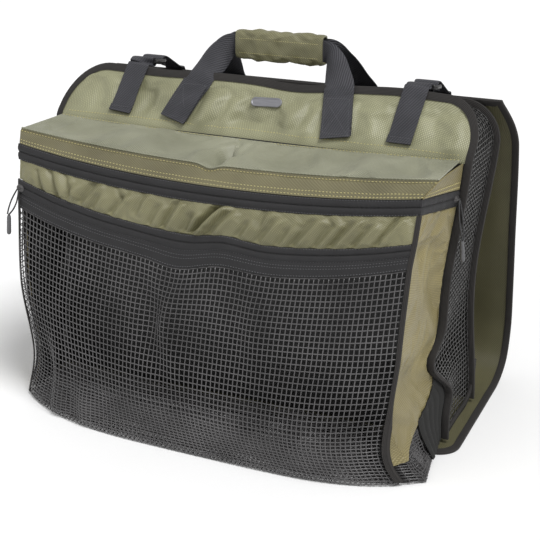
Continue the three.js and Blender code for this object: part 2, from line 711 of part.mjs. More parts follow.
// A ladder-lock buckle: a frame with two slots.
function buckle(sign) {
  const shape = roundedRect(new THREE.Shape(), BUCKLE.width, BUCKLE.length, 4);
  const slot = (BUCKLE.length - 3 * BUCKLE.bar) / 2;
  for (const side of [-1, 1]) {
    const y = (side * (BUCKLE.bar + slot)) / 2;
    shape.holes.push(roundedRect(new THREE.Path(), BUCKLE.width - 2 * BUCKLE.bar, slot, 1.5, 0, y));
  }
  return extrude(shape, BUCKLE.thickness).applyMatrix4(buckleFrame(sign));
}

// A frame on a surface: first axis near an edge's direction, third axis outward.
function seat(point, normal, along) {
  const first = along.clone().projectOnPlane(normal).normalize();
  return new THREE.Matrix4().makeBasis(first, normal.clone().cross(first), normal).setPosition(point);
}

function badge() {
  const shape = new THREE.Shape();
  shape.absellipse(0, 0, BADGE.length / 2 - BADGE.bevel, BADGE.height / 2 - BADGE.bevel, 0, 2 * Math.PI);
  const rim = { bevelSize: BADGE.bevel, bevelThickness: BADGE.bevel, bevelSegments: 1 };
  const lift = PANEL_WALL / 2 + FACE_GAP + BADGE.bevel + BADGE.thickness / 2 + 0.3;
  const height = lerp(SHELF_HEIGHT, PANEL_HEIGHT, BADGE.up);
  const normal = normalOf(mainSurface, BADGE.x, height);
  const place = seat(over(mainSurface, BADGE.x, height, lift), normal, vector(1, 0, 0));
  return extrude(shape, BADGE.thickness, { ...rim, bevelEnabled: true, curveSegments: 10 }).applyMatrix4(place);
}

// The direction of a zip, along the pocket.
const alongZip = ({ across, down }) => skin(across + 1e-2, down).sub(skin(across - 1e-2, down)).normalize();

// A zip slider, seated over the middle of a zip.
function slider(pull) {
  const { across, down } = pull;
  const shape = roundedRect(new THREE.Shape(), SLIDER.length, SLIDER.width, 2.5);
  const point = over(skin, across, down, -(POCKET_WALL / 2 + FACE_GAP + SLIDER.thickness / 2));
  const place = seat(point, normalOf(skin, across, down).negate(), alongZip(pull));
  return extrude(shape, SLIDER.thickness).applyMatrix4(place);
}

// Routes of the two cord loops: from the grip up one strand, through the slider's eye and down again.
// Each place is how far it hangs to the side and down from the eye, over the loop's length.
const PULLS = {
  left: { across: -0.985, down: 4.3, side: -14, drop: 34, lean: -4, front: -6 },
  right: { across: 1.93, down: 2.5, side: 8, drop: 46, lean: 4, front: -4 },
};

function pullPlaces(pull) {
  const lift = POCKET_WALL / 2 + FACE_GAP + SLIDER.thickness + PULL.cord * 0.66;
  const eye = over(skin, pull.across, pull.down, -lift);
  const end = eye.clone().add(vector(pull.side, pull.front, -pull.drop));
  return { eye, end };
}

function pullCord(pull) {
  const { eye, end } = pullPlaces(pull);
  const strand = (sign) =>
    [1, 0.72, 0.38].map((share) => {
      const point = eye.clone().lerp(end, share);
      const open = Math.sin(Math.PI * (1 - share)) * PULL.spread + PULL.cord * 0.6;
      return point.addScaledVector(alongZip(pull), sign * open).add(vector(0, 0, (share - 1) * share * 8));
    });
  const route = [...strand(-1), eye, ...strand(1).reverse()];
  const curve = new THREE.CatmullRomCurve3(route, false, "centripetal");
  const shape = new THREE.Shape(steps(0, 2 * Math.PI, 8).slice(0, -1).map((angle) =>
    new THREE.Vector2((PULL.cord / 2) * Math.cos(angle), (PULL.cord / 2) * Math.sin(angle))));
  return new THREE.ExtrudeGeometry(shape, { steps: 20, extrudePath: curve, bevelEnabled: false });
}

function pullGrip(pull) {
  const { end } = pullPlaces(pull);
  const grip = new THREE.CylinderGeometry(PULL.grip_radius, PULL.grip_radius * 1.15, PULL.grip_length, 12);
  grip.rotateX(Math.PI / 2).rotateY(pull.lean * 0.02);
  return grip.translate(end.x, end.y, end.z - PULL.grip_length / 2 - 0.8);
}

const yokeRuns = steps(SHELF_HEIGHT + STRAP_FOOT, PANEL_HEIGHT - BINDING_WIDTH, 4);
const matBehind = (length) => steps(length, BINDING_WIDTH, 5);
const frontFacing = vector(0, -1, 0);
const rearFacing = vector(0, 1, 0);
const frontStrap = (sign) =>
  sideStrap(mainSurface, sign * STRAP_SPREAD, yokeRuns, PANEL_HEIGHT, 1, sign, -1);
const rearStrap = (sign) =>
  sideStrap(matSurface, sign * STRAP_SPREAD + YOKE_SHIFT, matBehind(STRAP_REAR_LEG), 0, -1, sign, 1);

const mainOutline = uprightOutline(PANEL_HEIGHT, MAIN_TOP_STEPS);
const backOutline = uprightOutline(BACK_HEIGHT, BACK_TOP_STEPS);

const PIECES = [
  ["main_panel", "olive", () => uprightPanel(mainSurface, PANEL_HEIGHT, MAIN_TOP_STEPS)],
  ["main_binding", "binding", () => binding(mainSurface, mainOutline, PANEL_WALL)],
  ["pocket_top", "olive_light", pocketTop],
  ["pocket_zip", "zip", pocketZip],
  ["pleated_panel", "olive", pleatedPanel],
  ["net_zip", "zip", netZip],
  ["front_net", "net", frontNet],
  ["left_gusset_top", "olive", () => gussetTop(-1)],
  ["right_gusset_top", "olive", () => gussetTop(1)],
  ["left_gusset", "olive", () => gusset(-1)],
  ["right_gusset", "olive", () => gusset(1)],
  ["rear_mesh", "net", rearMesh],
  ["back_panel", "olive", () => uprightPanel(backSurface, BACK_HEIGHT, BACK_TOP_STEPS)],
  ["back_binding", "binding", () => binding(backSurface, backOutline, PANEL_WALL)],
  ["mat", "olive", matCloth],
  ["mat_binding", "binding", () => binding(matSurface, matOutline(), MAT_WALL)],
  ["front_handle", "webbing", () => handle(mainSurface, yokeRuns, PANEL_HEIGHT, 1, frontFacing)],
  ["rear_handle", "webbing", () => handle(matSurface, matBehind(HANDLE_REAR_LEG), 0, -1, rearFacing)],
  ["handle_wrap", "olive_light", wrapSleeve],
  ["left_front_strap", "webbing", () => frontStrap(-1)],
  ["right_front_strap", "webbing", () => frontStrap(1)],
  ["left_rear_strap", "webbing", () => rearStrap(-1)],
  ["right_rear_strap", "webbing", () => rearStrap(1)],
  ["left_buckle", "plastic", () => buckle(-1)],
  ["right_buckle", "plastic", () => buckle(1)],
  ["badge", "plate", badge],
  ["left_slider", "metal", () => slider(PULLS.left)],
  ["right_slider", "metal", () => slider(PULLS.right)],
  ["left_pull_cord", "binding", () => pullCord(PULLS.left)],
  ["right_pull_cord", "binding", () => pullCord(PULLS.right)],
  ["left_pull_grip", "rubber", () => pullGrip(PULLS.left)],
  ["right_pull_grip", "rubber", () => pullGrip(PULLS.right)],
];

// The whole bag, centred over the origin and resting on the ground.
const bag = new THREE.Group();
const box = new THREE.Box3();
for (const [name, finish, build] of PIECES) {
  const geometry = build();
  geometry.computeBoundingBox();
  box.union(geometry.boundingBox);
  const mesh = new THREE.Mesh(geometry, new THREE.MeshStandardMaterial(FINISHES[finish]));
  mesh.name = name;
  bag.add(mesh);
}
const middle = box.getCenter(vector(0, 0, 0));
for (const mesh of bag.children) mesh.geometry.translate(-middle.x, -middle.y, -box.min.z);

export default bag;
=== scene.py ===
# %% [markdown]
# # A wader bag in cloth, net and webbing
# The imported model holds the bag's true sizes. This script loads it as a frame and dresses it: each cloth
# wall, net, tape and strap becomes a surface worked out on a grid, with its own finish. Lengths are in
# millimetres in the sums, and become metres when a mesh is made.

# %% The frame
import bpy
import numpy as np
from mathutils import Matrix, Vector


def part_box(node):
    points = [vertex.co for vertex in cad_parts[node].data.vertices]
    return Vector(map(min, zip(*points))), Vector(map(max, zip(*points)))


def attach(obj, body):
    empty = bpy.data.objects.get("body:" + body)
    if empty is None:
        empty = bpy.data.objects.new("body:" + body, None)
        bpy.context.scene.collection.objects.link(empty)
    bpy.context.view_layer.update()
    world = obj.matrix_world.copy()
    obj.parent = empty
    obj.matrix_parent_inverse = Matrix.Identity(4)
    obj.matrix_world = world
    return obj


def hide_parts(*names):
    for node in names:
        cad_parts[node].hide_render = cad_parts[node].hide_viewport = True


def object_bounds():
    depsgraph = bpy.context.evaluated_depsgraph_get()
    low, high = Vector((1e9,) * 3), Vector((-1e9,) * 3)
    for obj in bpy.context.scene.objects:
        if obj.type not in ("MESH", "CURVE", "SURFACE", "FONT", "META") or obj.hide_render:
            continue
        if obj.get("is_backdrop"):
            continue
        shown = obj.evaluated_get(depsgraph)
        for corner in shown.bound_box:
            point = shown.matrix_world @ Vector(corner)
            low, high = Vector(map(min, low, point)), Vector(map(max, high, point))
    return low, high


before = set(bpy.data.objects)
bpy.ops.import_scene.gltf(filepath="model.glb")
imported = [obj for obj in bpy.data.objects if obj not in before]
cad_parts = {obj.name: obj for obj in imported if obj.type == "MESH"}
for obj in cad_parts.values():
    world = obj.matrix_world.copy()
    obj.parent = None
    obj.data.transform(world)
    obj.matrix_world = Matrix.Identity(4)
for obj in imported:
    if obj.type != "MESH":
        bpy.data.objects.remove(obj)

cad_box = [list(corner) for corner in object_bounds()]
print("frame nodes:", len(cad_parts))

# %% [markdown]
# ## Camera
# The picture was taken from a little above, from the right of the front, with a rather long lens. A
# camera fitted to the bag's corners gives this place, target and lens.

# %% Camera
camera = bpy.data.objects.new("camera", bpy.data.cameras.new("camera"))
bpy.context.scene.collection.objects.link(camera)
camera.location = (0.6123, -1.3346, 0.7412)
camera.rotation_euler = (Vector((0.0256, -0.0105, 0.1766)) - camera.location).to_track_quat("-Z", "Y").to_euler()
camera.data.lens = 82.1
camera.data.sensor_width = 36
camera.data.clip_start = 0.05
bpy.context.scene.camera = camera
bpy.context.scene.view_settings.view_transform = "Standard"

# %% [markdown]
# ## Finishes
# A finish is a small tree of nodes. Woven cloth gets a twill: two families of fine diagonal ribs that
# follow the piece's own UV map, which is laid out in metres, so the ribs bend with each fold. Broad noise
# varies the colour, and a little sheen lifts the edges as coated nylon does. Tapes and webbing get ribs
# of their own pitch. All these patterns could be painted images, but sums keep any size sharp.


# %% Node helpers
def finish_tree(name, roughness, sheen=0.0, metallic=0.0, specular=0.5):
    """A material with its shader; what is the same all over is set on the shader itself."""
    material = bpy.data.materials.new(name)
    material.use_nodes = True
    tree = material.node_tree
    shader = tree.nodes["Principled BSDF"]
    shader.inputs["Roughness"].default_value = roughness
    shader.inputs["Metallic"].default_value = metallic
    shader.inputs["Specular IOR Level"].default_value = specular
    shader.inputs["Sheen Weight"].default_value = sheen
    shader.inputs["Sheen Roughness"].default_value = 0.45
    return material, tree, shader


def add(tree, kind, *wires, **settings):
    """A node with its settings; a wire is (input, value or output to link)."""
    node = tree.nodes.new(kind)
    for key, value in settings.items():
        setattr(node, key, value)
    for socket, value in wires:
        if isinstance(value, bpy.types.NodeSocket):
            tree.links.new(value, node.inputs[socket])
        else:
            node.inputs[socket].default_value = value
    return node


def math(tree, operation, *values):
    """One sum in the tree: the operation on numbers or outputs, as a new output."""
    return add(tree, "ShaderNodeMath", *enumerate(values), operation=operation).outputs[0]


def ribs(tree, along, across, pitch):
    """sin(2 pi (along u + across v) / pitch), from 0 to 1: straight ribs, u and v in metres."""
    uv = add(tree, "ShaderNodeUVMap", uv_map="cloth").outputs[0]
    parts = add(tree, "ShaderNodeSeparateXYZ", (0, uv)).outputs
    sloped = math(tree, "MULTIPLY_ADD", parts[0], along, math(tree, "MULTIPLY", parts[1], across))
    wave = math(tree, "SINE", math(tree, "MULTIPLY", sloped, 2 * np.pi / pitch))
    return math(tree, "MULTIPLY_ADD", wave, 0.5, 0.5)


def clouds(tree, scale, detail=3.0, stretch=None):
    """Soft noise fixed to the object, from 0 to 1; stretch scales its axes."""
    place = add(tree, "ShaderNodeTexCoord").outputs["Object"]
    if stretch:
        place = add(tree, "ShaderNodeMapping", ("Vector", place), ("Scale", stretch)).outputs[0]
    return add(tree, "ShaderNodeTexNoise", ("Vector", place), ("Scale", scale), ("Detail", detail)).outputs["Fac"]


def blend_colours(tree, share, first, second):
    """first + (second - first) share, for two colours."""
    node = add(tree, "ShaderNodeMix", ("Factor", share), data_type="RGBA")
    for socket, colour in ((6, first), (7, second)):
        node.inputs[socket].default_value = (*colour, 1)
    return node.outputs[2]


def raise_bumps(tree, shader, height, depth):
    """Tilts the shader's normals as if the surface rose by depth metres where height is 1."""
    bump = add(tree, "ShaderNodeBump", ("Height", height), ("Distance", depth), ("Strength", 1.0))
    tree.links.new(bump.outputs[0], shader.inputs["Normal"])


# %% [markdown]
# The bag's cloth comes in one weave and several shades: olive on the front, lighter on the yoke as painted
# light and sheen, greyer on the pocket's top as painted sheen, browner on its facing as painted shade, tan at
# the sides as painted warm light, and dark on the mat. The faces inside are near black.


# %% Woven cloths
TWILL = 0.0024  # metres from rib to rib


def woven_cloth(name, light, dark, sheen=0.05):
    """Colour: light and dark mixed by 0.7 twill + 0.9 broad noise. Bump: twill + 0.3 fine noise."""
    material, tree, shader = finish_tree(name, 0.42, sheen)
    weave = math(tree, "MULTIPLY", ribs(tree, 1, 0.55, TWILL), ribs(tree, -0.55, 1, TWILL))
    broad, fine = clouds(tree, 14), clouds(tree, 160, 2)
    share = math(tree, "MULTIPLY_ADD", weave, 0.7, math(tree, "MULTIPLY_ADD", broad, 0.9, -0.15))
    tree.links.new(blend_colours(tree, share, dark, light), shader.inputs["Base Color"])
    tree.links.new(math(tree, "MULTIPLY_ADD", fine, 0.16, 0.34), shader.inputs["Roughness"])
    raise_bumps(tree, shader, math(tree, "MULTIPLY_ADD", fine, 0.3, weave), 0.00022)
    return material


OLIVE = woven_cloth("olive_weave", (0.275, 0.262, 0.142), (0.08, 0.075, 0.035))
# The yoke's copy of the olive is lighter and greyer: painted light and sheen.
OLIVE_YOKE_PAINTED_LIGHT = woven_cloth("olive_yoke_painted_light_weave", (0.39, 0.388, 0.24), (0.114, 0.112, 0.06))
# The pocket top's copy is lighter and greyer: painted sheen of the bright sky above.
OLIVE_TOP_PAINTED_SHEEN = woven_cloth("olive_top_painted_sheen_weave", (0.348, 0.35, 0.256), (0.126, 0.128, 0.084), sheen=0.1)
# The facing's copy is darker and browner: painted shade under the ridge.
OLIVE_FACING_PAINTED_SHADE = woven_cloth("olive_facing_painted_shade_weave", (0.218, 0.198, 0.107), (0.07, 0.062, 0.03))
# The sides' copy is tan: painted warm light.
OLIVE_SIDE_PAINTED_LIGHT = woven_cloth("olive_side_painted_light_weave", (0.312, 0.264, 0.122), (0.104, 0.086, 0.035))
MAT_OLIVE = woven_cloth("mat_weave", (0.13, 0.122, 0.062), (0.058, 0.054, 0.028))
# Near black, for the faces inside the pocket and the rear compartment.
DARK_INSIDE = woven_cloth("dark_inside_weave", (0.012, 0.012, 0.011), (0.005, 0.005, 0.005), sheen=0.0)


def ribbed_tape(name, light, dark, pitch, roughness=0.8, along=1, across=0, depth=0.0003):
    """Colour: 0.45 ribs + 0.5 noise for worn places. Bump: the ribs and a fainter grain across them."""
    material, tree, shader = finish_tree(name, roughness, 0.02, specular=0.3)
    rib = ribs(tree, along, across, pitch)
    grain = ribs(tree, across, along, pitch * 0.6)
    worn = clouds(tree, 45)
    share = math(tree, "MULTIPLY_ADD", rib, 0.45, math(tree, "MULTIPLY", worn, 0.5))
    tree.links.new(blend_colours(tree, share, dark, light), shader.inputs["Base Color"])
    tree.links.new(math(tree, "MULTIPLY_ADD", worn, 0.2, roughness - 0.1), shader.inputs["Roughness"])
    raise_bumps(tree, shader, math(tree, "MULTIPLY_ADD", grain, 0.35, rib), depth)
    return material


BINDING = ribbed_tape("binding_weave", (0.042, 0.038, 0.036), (0.01, 0.0095, 0.009), 0.0018)
ZIP_TAPE = ribbed_tape("zip_tape_weave", (0.032, 0.031, 0.033), (0.008, 0.008, 0.0085), 0.0015, 0.55)
WEBBING = ribbed_tape("webbing_weave", (0.07, 0.07, 0.08), (0.014, 0.014, 0.017), 0.0034, 0.55, 1, 0.6, 0.0006)
FOOT_TAPE = ribbed_tape("foot_tape_weave", (0.022, 0.022, 0.021), (0.007, 0.007, 0.0065), 0.0018)


# %% [markdown]
# Harder finishes: the net is coated and a little glossy, the buckles are moulded plastic, the plate and
# the sliders are brushed metal, and thread has a twist. Wear comes from noise in colour and roughness; on
# the front net the lighter patches of the noise are painted highlights.


# %% Harder finishes
def solid_finish(name, light, dark, scale, roughness, metallic=0.0, depth=0.00006, stretch=None):
    """Two tones of noise, the same noise in the roughness, and a fine bump."""
    material, tree, shader = finish_tree(name, roughness, 0.0, metallic)
    grain = clouds(tree, scale, 4.0, stretch)
    tree.links.new(blend_colours(tree, grain, dark, light), shader.inputs["Base Color"])
    tree.links.new(math(tree, "MULTIPLY_ADD", grain, 0.3, roughness - 0.15), shader.inputs["Roughness"])
    raise_bumps(tree, shader, grain, depth)
    return material


# Front net: the dark tone is the coated strand, and the lighter tone in broad patches is painted highlights.
NET_PAINTED_HIGHLIGHTS = solid_finish("coated_net_strand_painted_highlights", (0.145, 0.14, 0.142), (0.008, 0.008, 0.008), 16, 0.28)
REAR_NET = solid_finish("rear_net_strand", (0.09, 0.087, 0.085), (0.012, 0.012, 0.012), 90, 0.26)
PLASTIC = solid_finish("moulded_plastic", (0.03, 0.029, 0.028), (0.012, 0.011, 0.011), 300, 0.34)
PLATE = solid_finish("brushed_plate", (0.27, 0.27, 0.29), (0.15, 0.15, 0.165), 500, 0.36, 0.35, stretch=(0.08, 1, 1))
SLIDER_METAL = solid_finish("slider_metal", (0.16, 0.155, 0.155), (0.04, 0.039, 0.038), 260, 0.4, 0.7)
CORD_BRAID = solid_finish("braided_cord", (0.05, 0.05, 0.052), (0.015, 0.015, 0.016), 900, 0.7, depth=0.0002)
RUBBER = solid_finish("grey_rubber", (0.13, 0.13, 0.135), (0.06, 0.06, 0.062), 350, 0.5)
THREAD = solid_finish("olive_thread", (0.62, 0.56, 0.27), (0.42, 0.37, 0.15), 900, 0.6, depth=0.0001)
DARK_THREAD = solid_finish("grey_thread", (0.17, 0.17, 0.18), (0.08, 0.08, 0.085), 900, 0.6, depth=0.0001)
print("finishes:", len(bpy.data.materials))

# %% [markdown]
# ## How every piece is closed
# Each piece is a row of stations, and each station is a closed outline with an even number of points.
# Neighbouring stations are joined by quads. The two ends are shut like a ladder: the first outline point
# pairs with the last, the second with the one before, and so on, which also suits a U and a flat sheet.
# A ring has no ends: its last station joins its first. Blender's Solidify could thicken sheets, but here
# both faces are worked out at once and never cross.

# %% Mesh helpers
SEAM_SHIFT = np.array([0, 10.5, 0])  # the sums start at the pocket's top seam, the frame at the bag's middle


def from_frame(places):
    """Places of the frame, in metres, as places of the sums, in millimetres."""
    return np.asarray(places, float) * 1000 + SEAM_SHIFT


def closed_quads(stations, size, ring=False):
    """Quads between neighbouring stations, and the ladder at both ends unless it is a ring."""
    rows = np.arange(stations if ring else stations - 1)[:, None] * size
    here = np.arange(size)[None, :]
    there = (here + 1) % size
    ahead = (rows + size) % (stations * size)
    quads = np.stack([rows + here, rows + there, ahead + there, ahead + here], -1).reshape(-1, 4)
    if ring:
        return quads
    rung = np.arange(size // 2 - 1)
    start = np.stack([rung, size - 1 - rung, size - 2 - rung, rung + 1], -1)
    end = start[:, ::-1] + (stations - 1) * size
    return np.concatenate([quads, start, end])


def outward(points, quads):
    """Turns all quads round if they enclose a negative volume."""
    a, b, c, d = (points[quads[:, k]] for k in range(4))
    volume = np.einsum("ij,ij->", a, np.cross(b, c)) + np.einsum("ij,ij->", a, np.cross(c, d))
    return quads if volume > 0 else quads[:, ::-1]


def make_piece(name, bodies, finish, replaces=(), sharp=0.9, finishes=()):
    """One object from closed bodies, each (points, quads, uv) and maybe the finish of each quad."""
    points, quads, uvs, chosen, start = [], [], [], [], 0
    for body_points, body_quads, body_uv, *body_finish in bodies:
        points.append(body_points)
        quads.append(outward(body_points, body_quads) + start)
        uvs.append(body_uv)
        chosen.append(np.zeros(len(body_quads)) + (body_finish[0] if body_finish else 0))
        start += len(body_points)
    points, quads, uvs, chosen = (np.concatenate(part) for part in (points, quads, uvs, chosen))
    mesh = bpy.data.meshes.new(name)
    mesh.vertices.add(len(points))
    mesh.vertices.foreach_set("co", ((points - SEAM_SHIFT) / 1000).astype(np.float32).ravel())
    mesh.loops.add(quads.size)
    mesh.loops.foreach_set("vertex_index", quads.astype(np.int32).ravel())
    mesh.polygons.add(len(quads))
    mesh.polygons.foreach_set("loop_start", np.arange(0, quads.size, 4, dtype=np.int32))
    layer = mesh.uv_layers.new(name="cloth")
    layer.data.foreach_set("uv", (uvs[quads.ravel()] / 1000).astype(np.float32).ravel())
    for material in (finish, *finishes):
        mesh.materials.append(material)
    if finishes:
        mesh.polygons.foreach_set("material_index", chosen.astype(np.int32))
    mesh.update(calc_edges=True)
    mesh.shade_smooth()
    mesh.set_sharp_from_angle(angle=sharp)
    piece = bpy.data.objects.new(name, mesh)
    bpy.context.scene.collection.objects.link(piece)
    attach(piece, "root")
    if replaces:
        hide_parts(*replaces)
    print(f"{name}: {2 * len(quads)} triangles")
    return piece


def unit(vectors):
    """Each vector divided by its own length."""
    return vectors / np.maximum(np.linalg.norm(vectors, axis=-1, keepdims=True), 1e-9)


def grid_normals(grid):
    """Cross product of a grid's two directions, as unit vectors."""
    return unit(np.cross(np.gradient(grid, axis=0), np.gradient(grid, axis=1)))


def lengths(line):
    """The length along a line from its start to each of its points."""
    return np.concatenate([[0], np.cumsum(np.linalg.norm(np.diff(line, axis=0), axis=1))])


def grid_uv(grid):
    """Lengths along the middle row and the middle column, in millimetres, as a flat cloth's own map."""
    rows, columns = grid.shape[:2]
    return np.stack(np.meshgrid(lengths(grid[rows // 2]), lengths(grid[:, columns // 2])), -1)


def cloth_body(grid, thickness, lift=0.0, outside=0, inside=0):
    """A sheet over a grid: half its thickness to each side, moved by lift along its normal. outside and
    inside number the finishes of its two faces."""
    normals = grid_normals(grid)
    uv = grid_uv(grid)
    front, back = grid + normals * (lift + thickness / 2), grid + normals * (lift - thickness / 2)
    rings = np.concatenate([front, back[:, ::-1]], axis=1)
    rows, size = rings.shape[:2]
    uvs = np.concatenate([uv, uv[:, ::-1]], axis=1)
    quads = closed_quads(rows, size)
    faces = np.full(len(quads), outside)
    faces[:(rows - 1) * size] = np.tile(np.where(np.arange(size) < size // 2, outside, inside), rows - 1)
    return rings.reshape(-1, 3), quads, uvs.reshape(-1, 2), faces


def ring_body(rings, ring=False):
    """Stations of closed outlines, with a UV map of length around by length along."""
    rows, size = rings.shape[:2]
    uv = np.stack(np.meshgrid(lengths(rings[rows // 2]), lengths(rings.mean(1))), -1)
    return rings.reshape(-1, 3), closed_quads(rows, size, ring), uv.reshape(-1, 2)


def many_bodies(rings):
    """Many small bodies at once: each has the same quads, counted on from the body before."""
    count, stations, size = rings.shape[:3]
    quads = closed_quads(stations, size) + np.arange(count)[:, None, None] * stations * size
    points = rings.reshape(-1, 3)
    return points, quads.reshape(-1, 4), points[:, [0, 2]]


def tube_body(middle, first, second, outline):
    """An outline carried along a path: middle + a first + b second, for each outline point (a, b)."""
    a, b = np.asarray(outline, float).T
    rings = middle[:, None] + a[None, :, None] * first[:, None] + b[None, :, None] * second[:, None]
    return ring_body(rings)


def round_outline(width, height, count=8, power=2.0):
    """Points of a superellipse, which is an ellipse at power 2 and nearly a rectangle at 6."""
    turn = (np.arange(count) + 0.5) * 2 * np.pi / count
    c, s = np.cos(turn), np.sin(turn)
    bend = 2 / power
    return np.stack([np.sign(c) * np.abs(c) ** bend * width / 2, np.sign(s) * np.abs(s) ** bend * height / 2], -1)


# %% [markdown]
# ## Curves and tables
# A centripetal curve runs through chosen points without loops, and a table of shares gives the walls
# their lean. Humps are Gaussian bells: dents, folds and waves are sums of them. The sizes below are the
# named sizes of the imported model.

# %% Curves and waves
def through(p0, p1, p2, p3, share):
    """The centripetal curve from p1 to p2, shaped by both neighbours, at shares from 0 to 1."""
    step = [np.sqrt(np.linalg.norm(b - a, axis=-1, keepdims=True)) + 1e-6 for a, b in ((p0, p1), (p1, p2), (p2, p3))]
    t1 = ((p1 - p0) / step[0] - (p2 - p0) / (step[0] + step[1]) + (p2 - p1) / step[1]) * step[1]
    t2 = ((p2 - p1) / step[1] - (p3 - p1) / (step[1] + step[2]) + (p3 - p2) / step[2]) * step[1]
    return p1 + t1 * share + (3 * (p2 - p1) - 2 * t1 - t2) * share**2 + (2 * (p1 - p2) + t1 + t2) * share**3


def smooth_path(points, count):
    """A curve through points, at count places spread evenly over its length."""
    p = np.asarray(points, float)
    p = np.concatenate([[2 * p[0] - p[1]], p, [2 * p[-1] - p[-2]]])
    share = np.linspace(0, 1, 24, endpoint=False)[:, None]
    parts = [through(p[k], p[k + 1], p[k + 2], p[k + 3], share) for k in range(len(p) - 3)]
    dense = np.concatenate([*parts, p[-2:-1]])
    run = lengths(dense[:, :3])
    return np.stack([np.interp(np.linspace(0, run[-1], count), run, column) for column in dense.T], -1)


def profile(table):
    """A smooth curve through a table of (at, value): cubic pieces with the slope of the neighbours."""
    at, value = np.asarray(table, float).T
    slope = np.gradient(value, at)

    def curve(x):
        k = np.clip(np.searchsorted(at, x) - 1, 0, len(at) - 2)
        wide = at[k + 1] - at[k]
        s = (x - at[k]) / wide
        rise = (value[k + 1] - value[k]) / wide
        ease = (slope[k] + slope[k + 1] - 2 * rise) * (s - 1) * s * wide * s
        return value[k] + (x - at[k]) * slope[k] + (rise - slope[k]) * s * s * wide + ease

    return curve


def hump(x):
    """A bell: e to the power of minus x squared."""
    return np.exp(-x * x)


def smoothstep(x, low, high):
    """3 s s - 2 s s s, where s goes from 0 at low to 1 at high."""
    s = np.clip((x - low) / (high - low), 0, 1)
    return s * s * (3 - 2 * s)


def mix(a, b, share):
    """Straight from a at share 0 to b at share 1."""
    return a + (b - a) * share


def joined(*columns):
    """Columns side by side as one array, where a single number fills its column."""
    return np.stack(np.broadcast_arrays(*columns), -1).astype(float)


def ripples(x, y, size, seed, count=9):
    """A sum of sine waves in random directions, about 1 high: the small unrest of soft cloth."""
    dice = np.random.default_rng(seed)
    turn, phase = dice.uniform(0, np.pi, count), dice.uniform(0, 2 * np.pi, count)
    length = size * dice.uniform(0.6, 1.8, count)
    waves = [np.sin((x * np.cos(t) + y * np.sin(t)) * 2 * np.pi / w + p) for t, p, w in zip(turn, phase, length)]
    return sum(waves) / np.sqrt(count)


def folds(across, down, table):
    """A sum of creases. Each is (at, slant, wide, deep, top, foot): a ridge beside a valley that starts
    at top and dies out at foot, leaning by slant over the whole height."""
    total = np.zeros(np.broadcast(across, down).shape)
    for at, slant, wide, deep, top, foot in table:
        x = (across - at - slant * down) / wide
        reach = smoothstep(down, top - 0.12, top + 0.12) * (1 - smoothstep(down, foot - 0.12, foot + 0.12))
        total = total + deep * (hump(x) - 0.8 * hump(x - 1.5)) * reach
    return total


# %% [markdown]
# Small wrinkles come from a cloth simulation. The cloth between its seams is made a little longer than
# the space it has, so it buckles by itself, as real cloth does that is sewn to a shorter zip. The folds
# that the tables give are its start, and no place may move further than a cap.


# %% Wrinkles by simulation
STEPS = 20


def wrinkle(grid, held, growth, cap, stiffness=0.4, pressure=0.0, ring=False):
    """The grid after some steps of cloth whose threads want to be longer by the share growth. Places
    that are held stay. One that moves further than cap is put at that distance, on the same line."""
    rows, columns = grid.shape[:2]
    index = np.arange(rows * columns).reshape(rows, columns)
    if ring:
        index = np.concatenate([index, index[:1]])
    quads = np.stack([index[:-1, :-1], index[:-1, 1:], index[1:, 1:], index[1:, :-1]], -1).reshape(-1, 4)
    mesh = bpy.data.meshes.new("wrinkling")
    mesh.from_pydata((grid.reshape(-1, 3) / 1000).tolist(), [], quads.tolist())
    piece = bpy.data.objects.new("wrinkling", mesh)
    bpy.context.scene.collection.objects.link(piece)
    group = piece.vertex_groups.new(name="held")
    group.add(np.flatnonzero(np.broadcast_to(held, (rows, columns)).ravel() > 0.5).tolist(), 1.0, "REPLACE")
    cloth = piece.modifiers.new("cloth", "CLOTH").settings
    cloth.quality, cloth.mass, cloth.vertex_group_mass = 6, 0.15, "held"
    cloth.tension_stiffness = cloth.compression_stiffness = 25
    cloth.shear_stiffness, cloth.bending_stiffness, cloth.shrink_min = 8, stiffness, -growth
    cloth.use_pressure, cloth.uniform_pressure_force = pressure > 0, pressure
    cloth.effector_weights.gravity = 0
    for frame_number in range(1, STEPS + 1):
        bpy.context.scene.frame_set(frame_number)
    settled = piece.evaluated_get(bpy.context.evaluated_depsgraph_get()).data
    places = np.empty(rows * columns * 3, np.float32)
    settled.vertices.foreach_get("co", places)
    bpy.data.objects.remove(piece)
    bpy.context.scene.frame_set(1)
    move = places.reshape(grid.shape) * 1000.0 - grid
    far = np.linalg.norm(move, axis=-1, keepdims=True)
    print("wrinkled, mm: mean", round(float(far.mean()), 2), "most", round(float(far.max()), 2))
    return grid + move * np.minimum(1, cap / np.maximum(far, 1e-6))


# %% Named sizes of the bag
HALF_WIDTH, PANEL_HEIGHT, SHELF, YOKE_LEAN, YOKE_SHIFT, PANEL_LEAN = 276, 408, 350, 50, 5, 32
CORNER, SIDE_PULL, REAR_DEPTH, BACK_HEIGHT, POCKET_HALF, POCKET_DEPTH = 50, 11, 140, 385, 270, 140
PANEL_WALL, TAPE_WIDTH, FOOT = 2.2, 7.0, 9
MAT_HALF, MAT_TOP_HALF, MAT_TAPER, MAT_REACH, MAT_FRONT, MAT_CORNER = 291, 271, 64, 203, 62, 28
CLOTH_WALL, ZIP_WALL, INSET = 1.6, 1.5, 0.4  # inset: how far cloth ends inside its folded tape
SIDES = (("left", -1), ("right", 1))
UP = np.array([0, 0, 1.0])

main_back = profile([(0, -1.1), (0.44, -0.94), (0.66, -0.78), (0.86, -0.38), (1, 0)])
rear_back = profile([(0, 0.586), (0.37, 0.636), (0.7, 0.8), (0.88, 0.92), (1, 1), (1.05, 1.033)])


# %% [markdown]
# ## The two upright panels
# The main panel stands in the middle and carries the pocket in front; above the pocket its free yoke
# leans back and is dented by the straps that pull at it. The back panel closes the rear compartment.
# Both are one function of x and height, so that their cloth, their edge tape and what is sewn on them
# use the same surface.

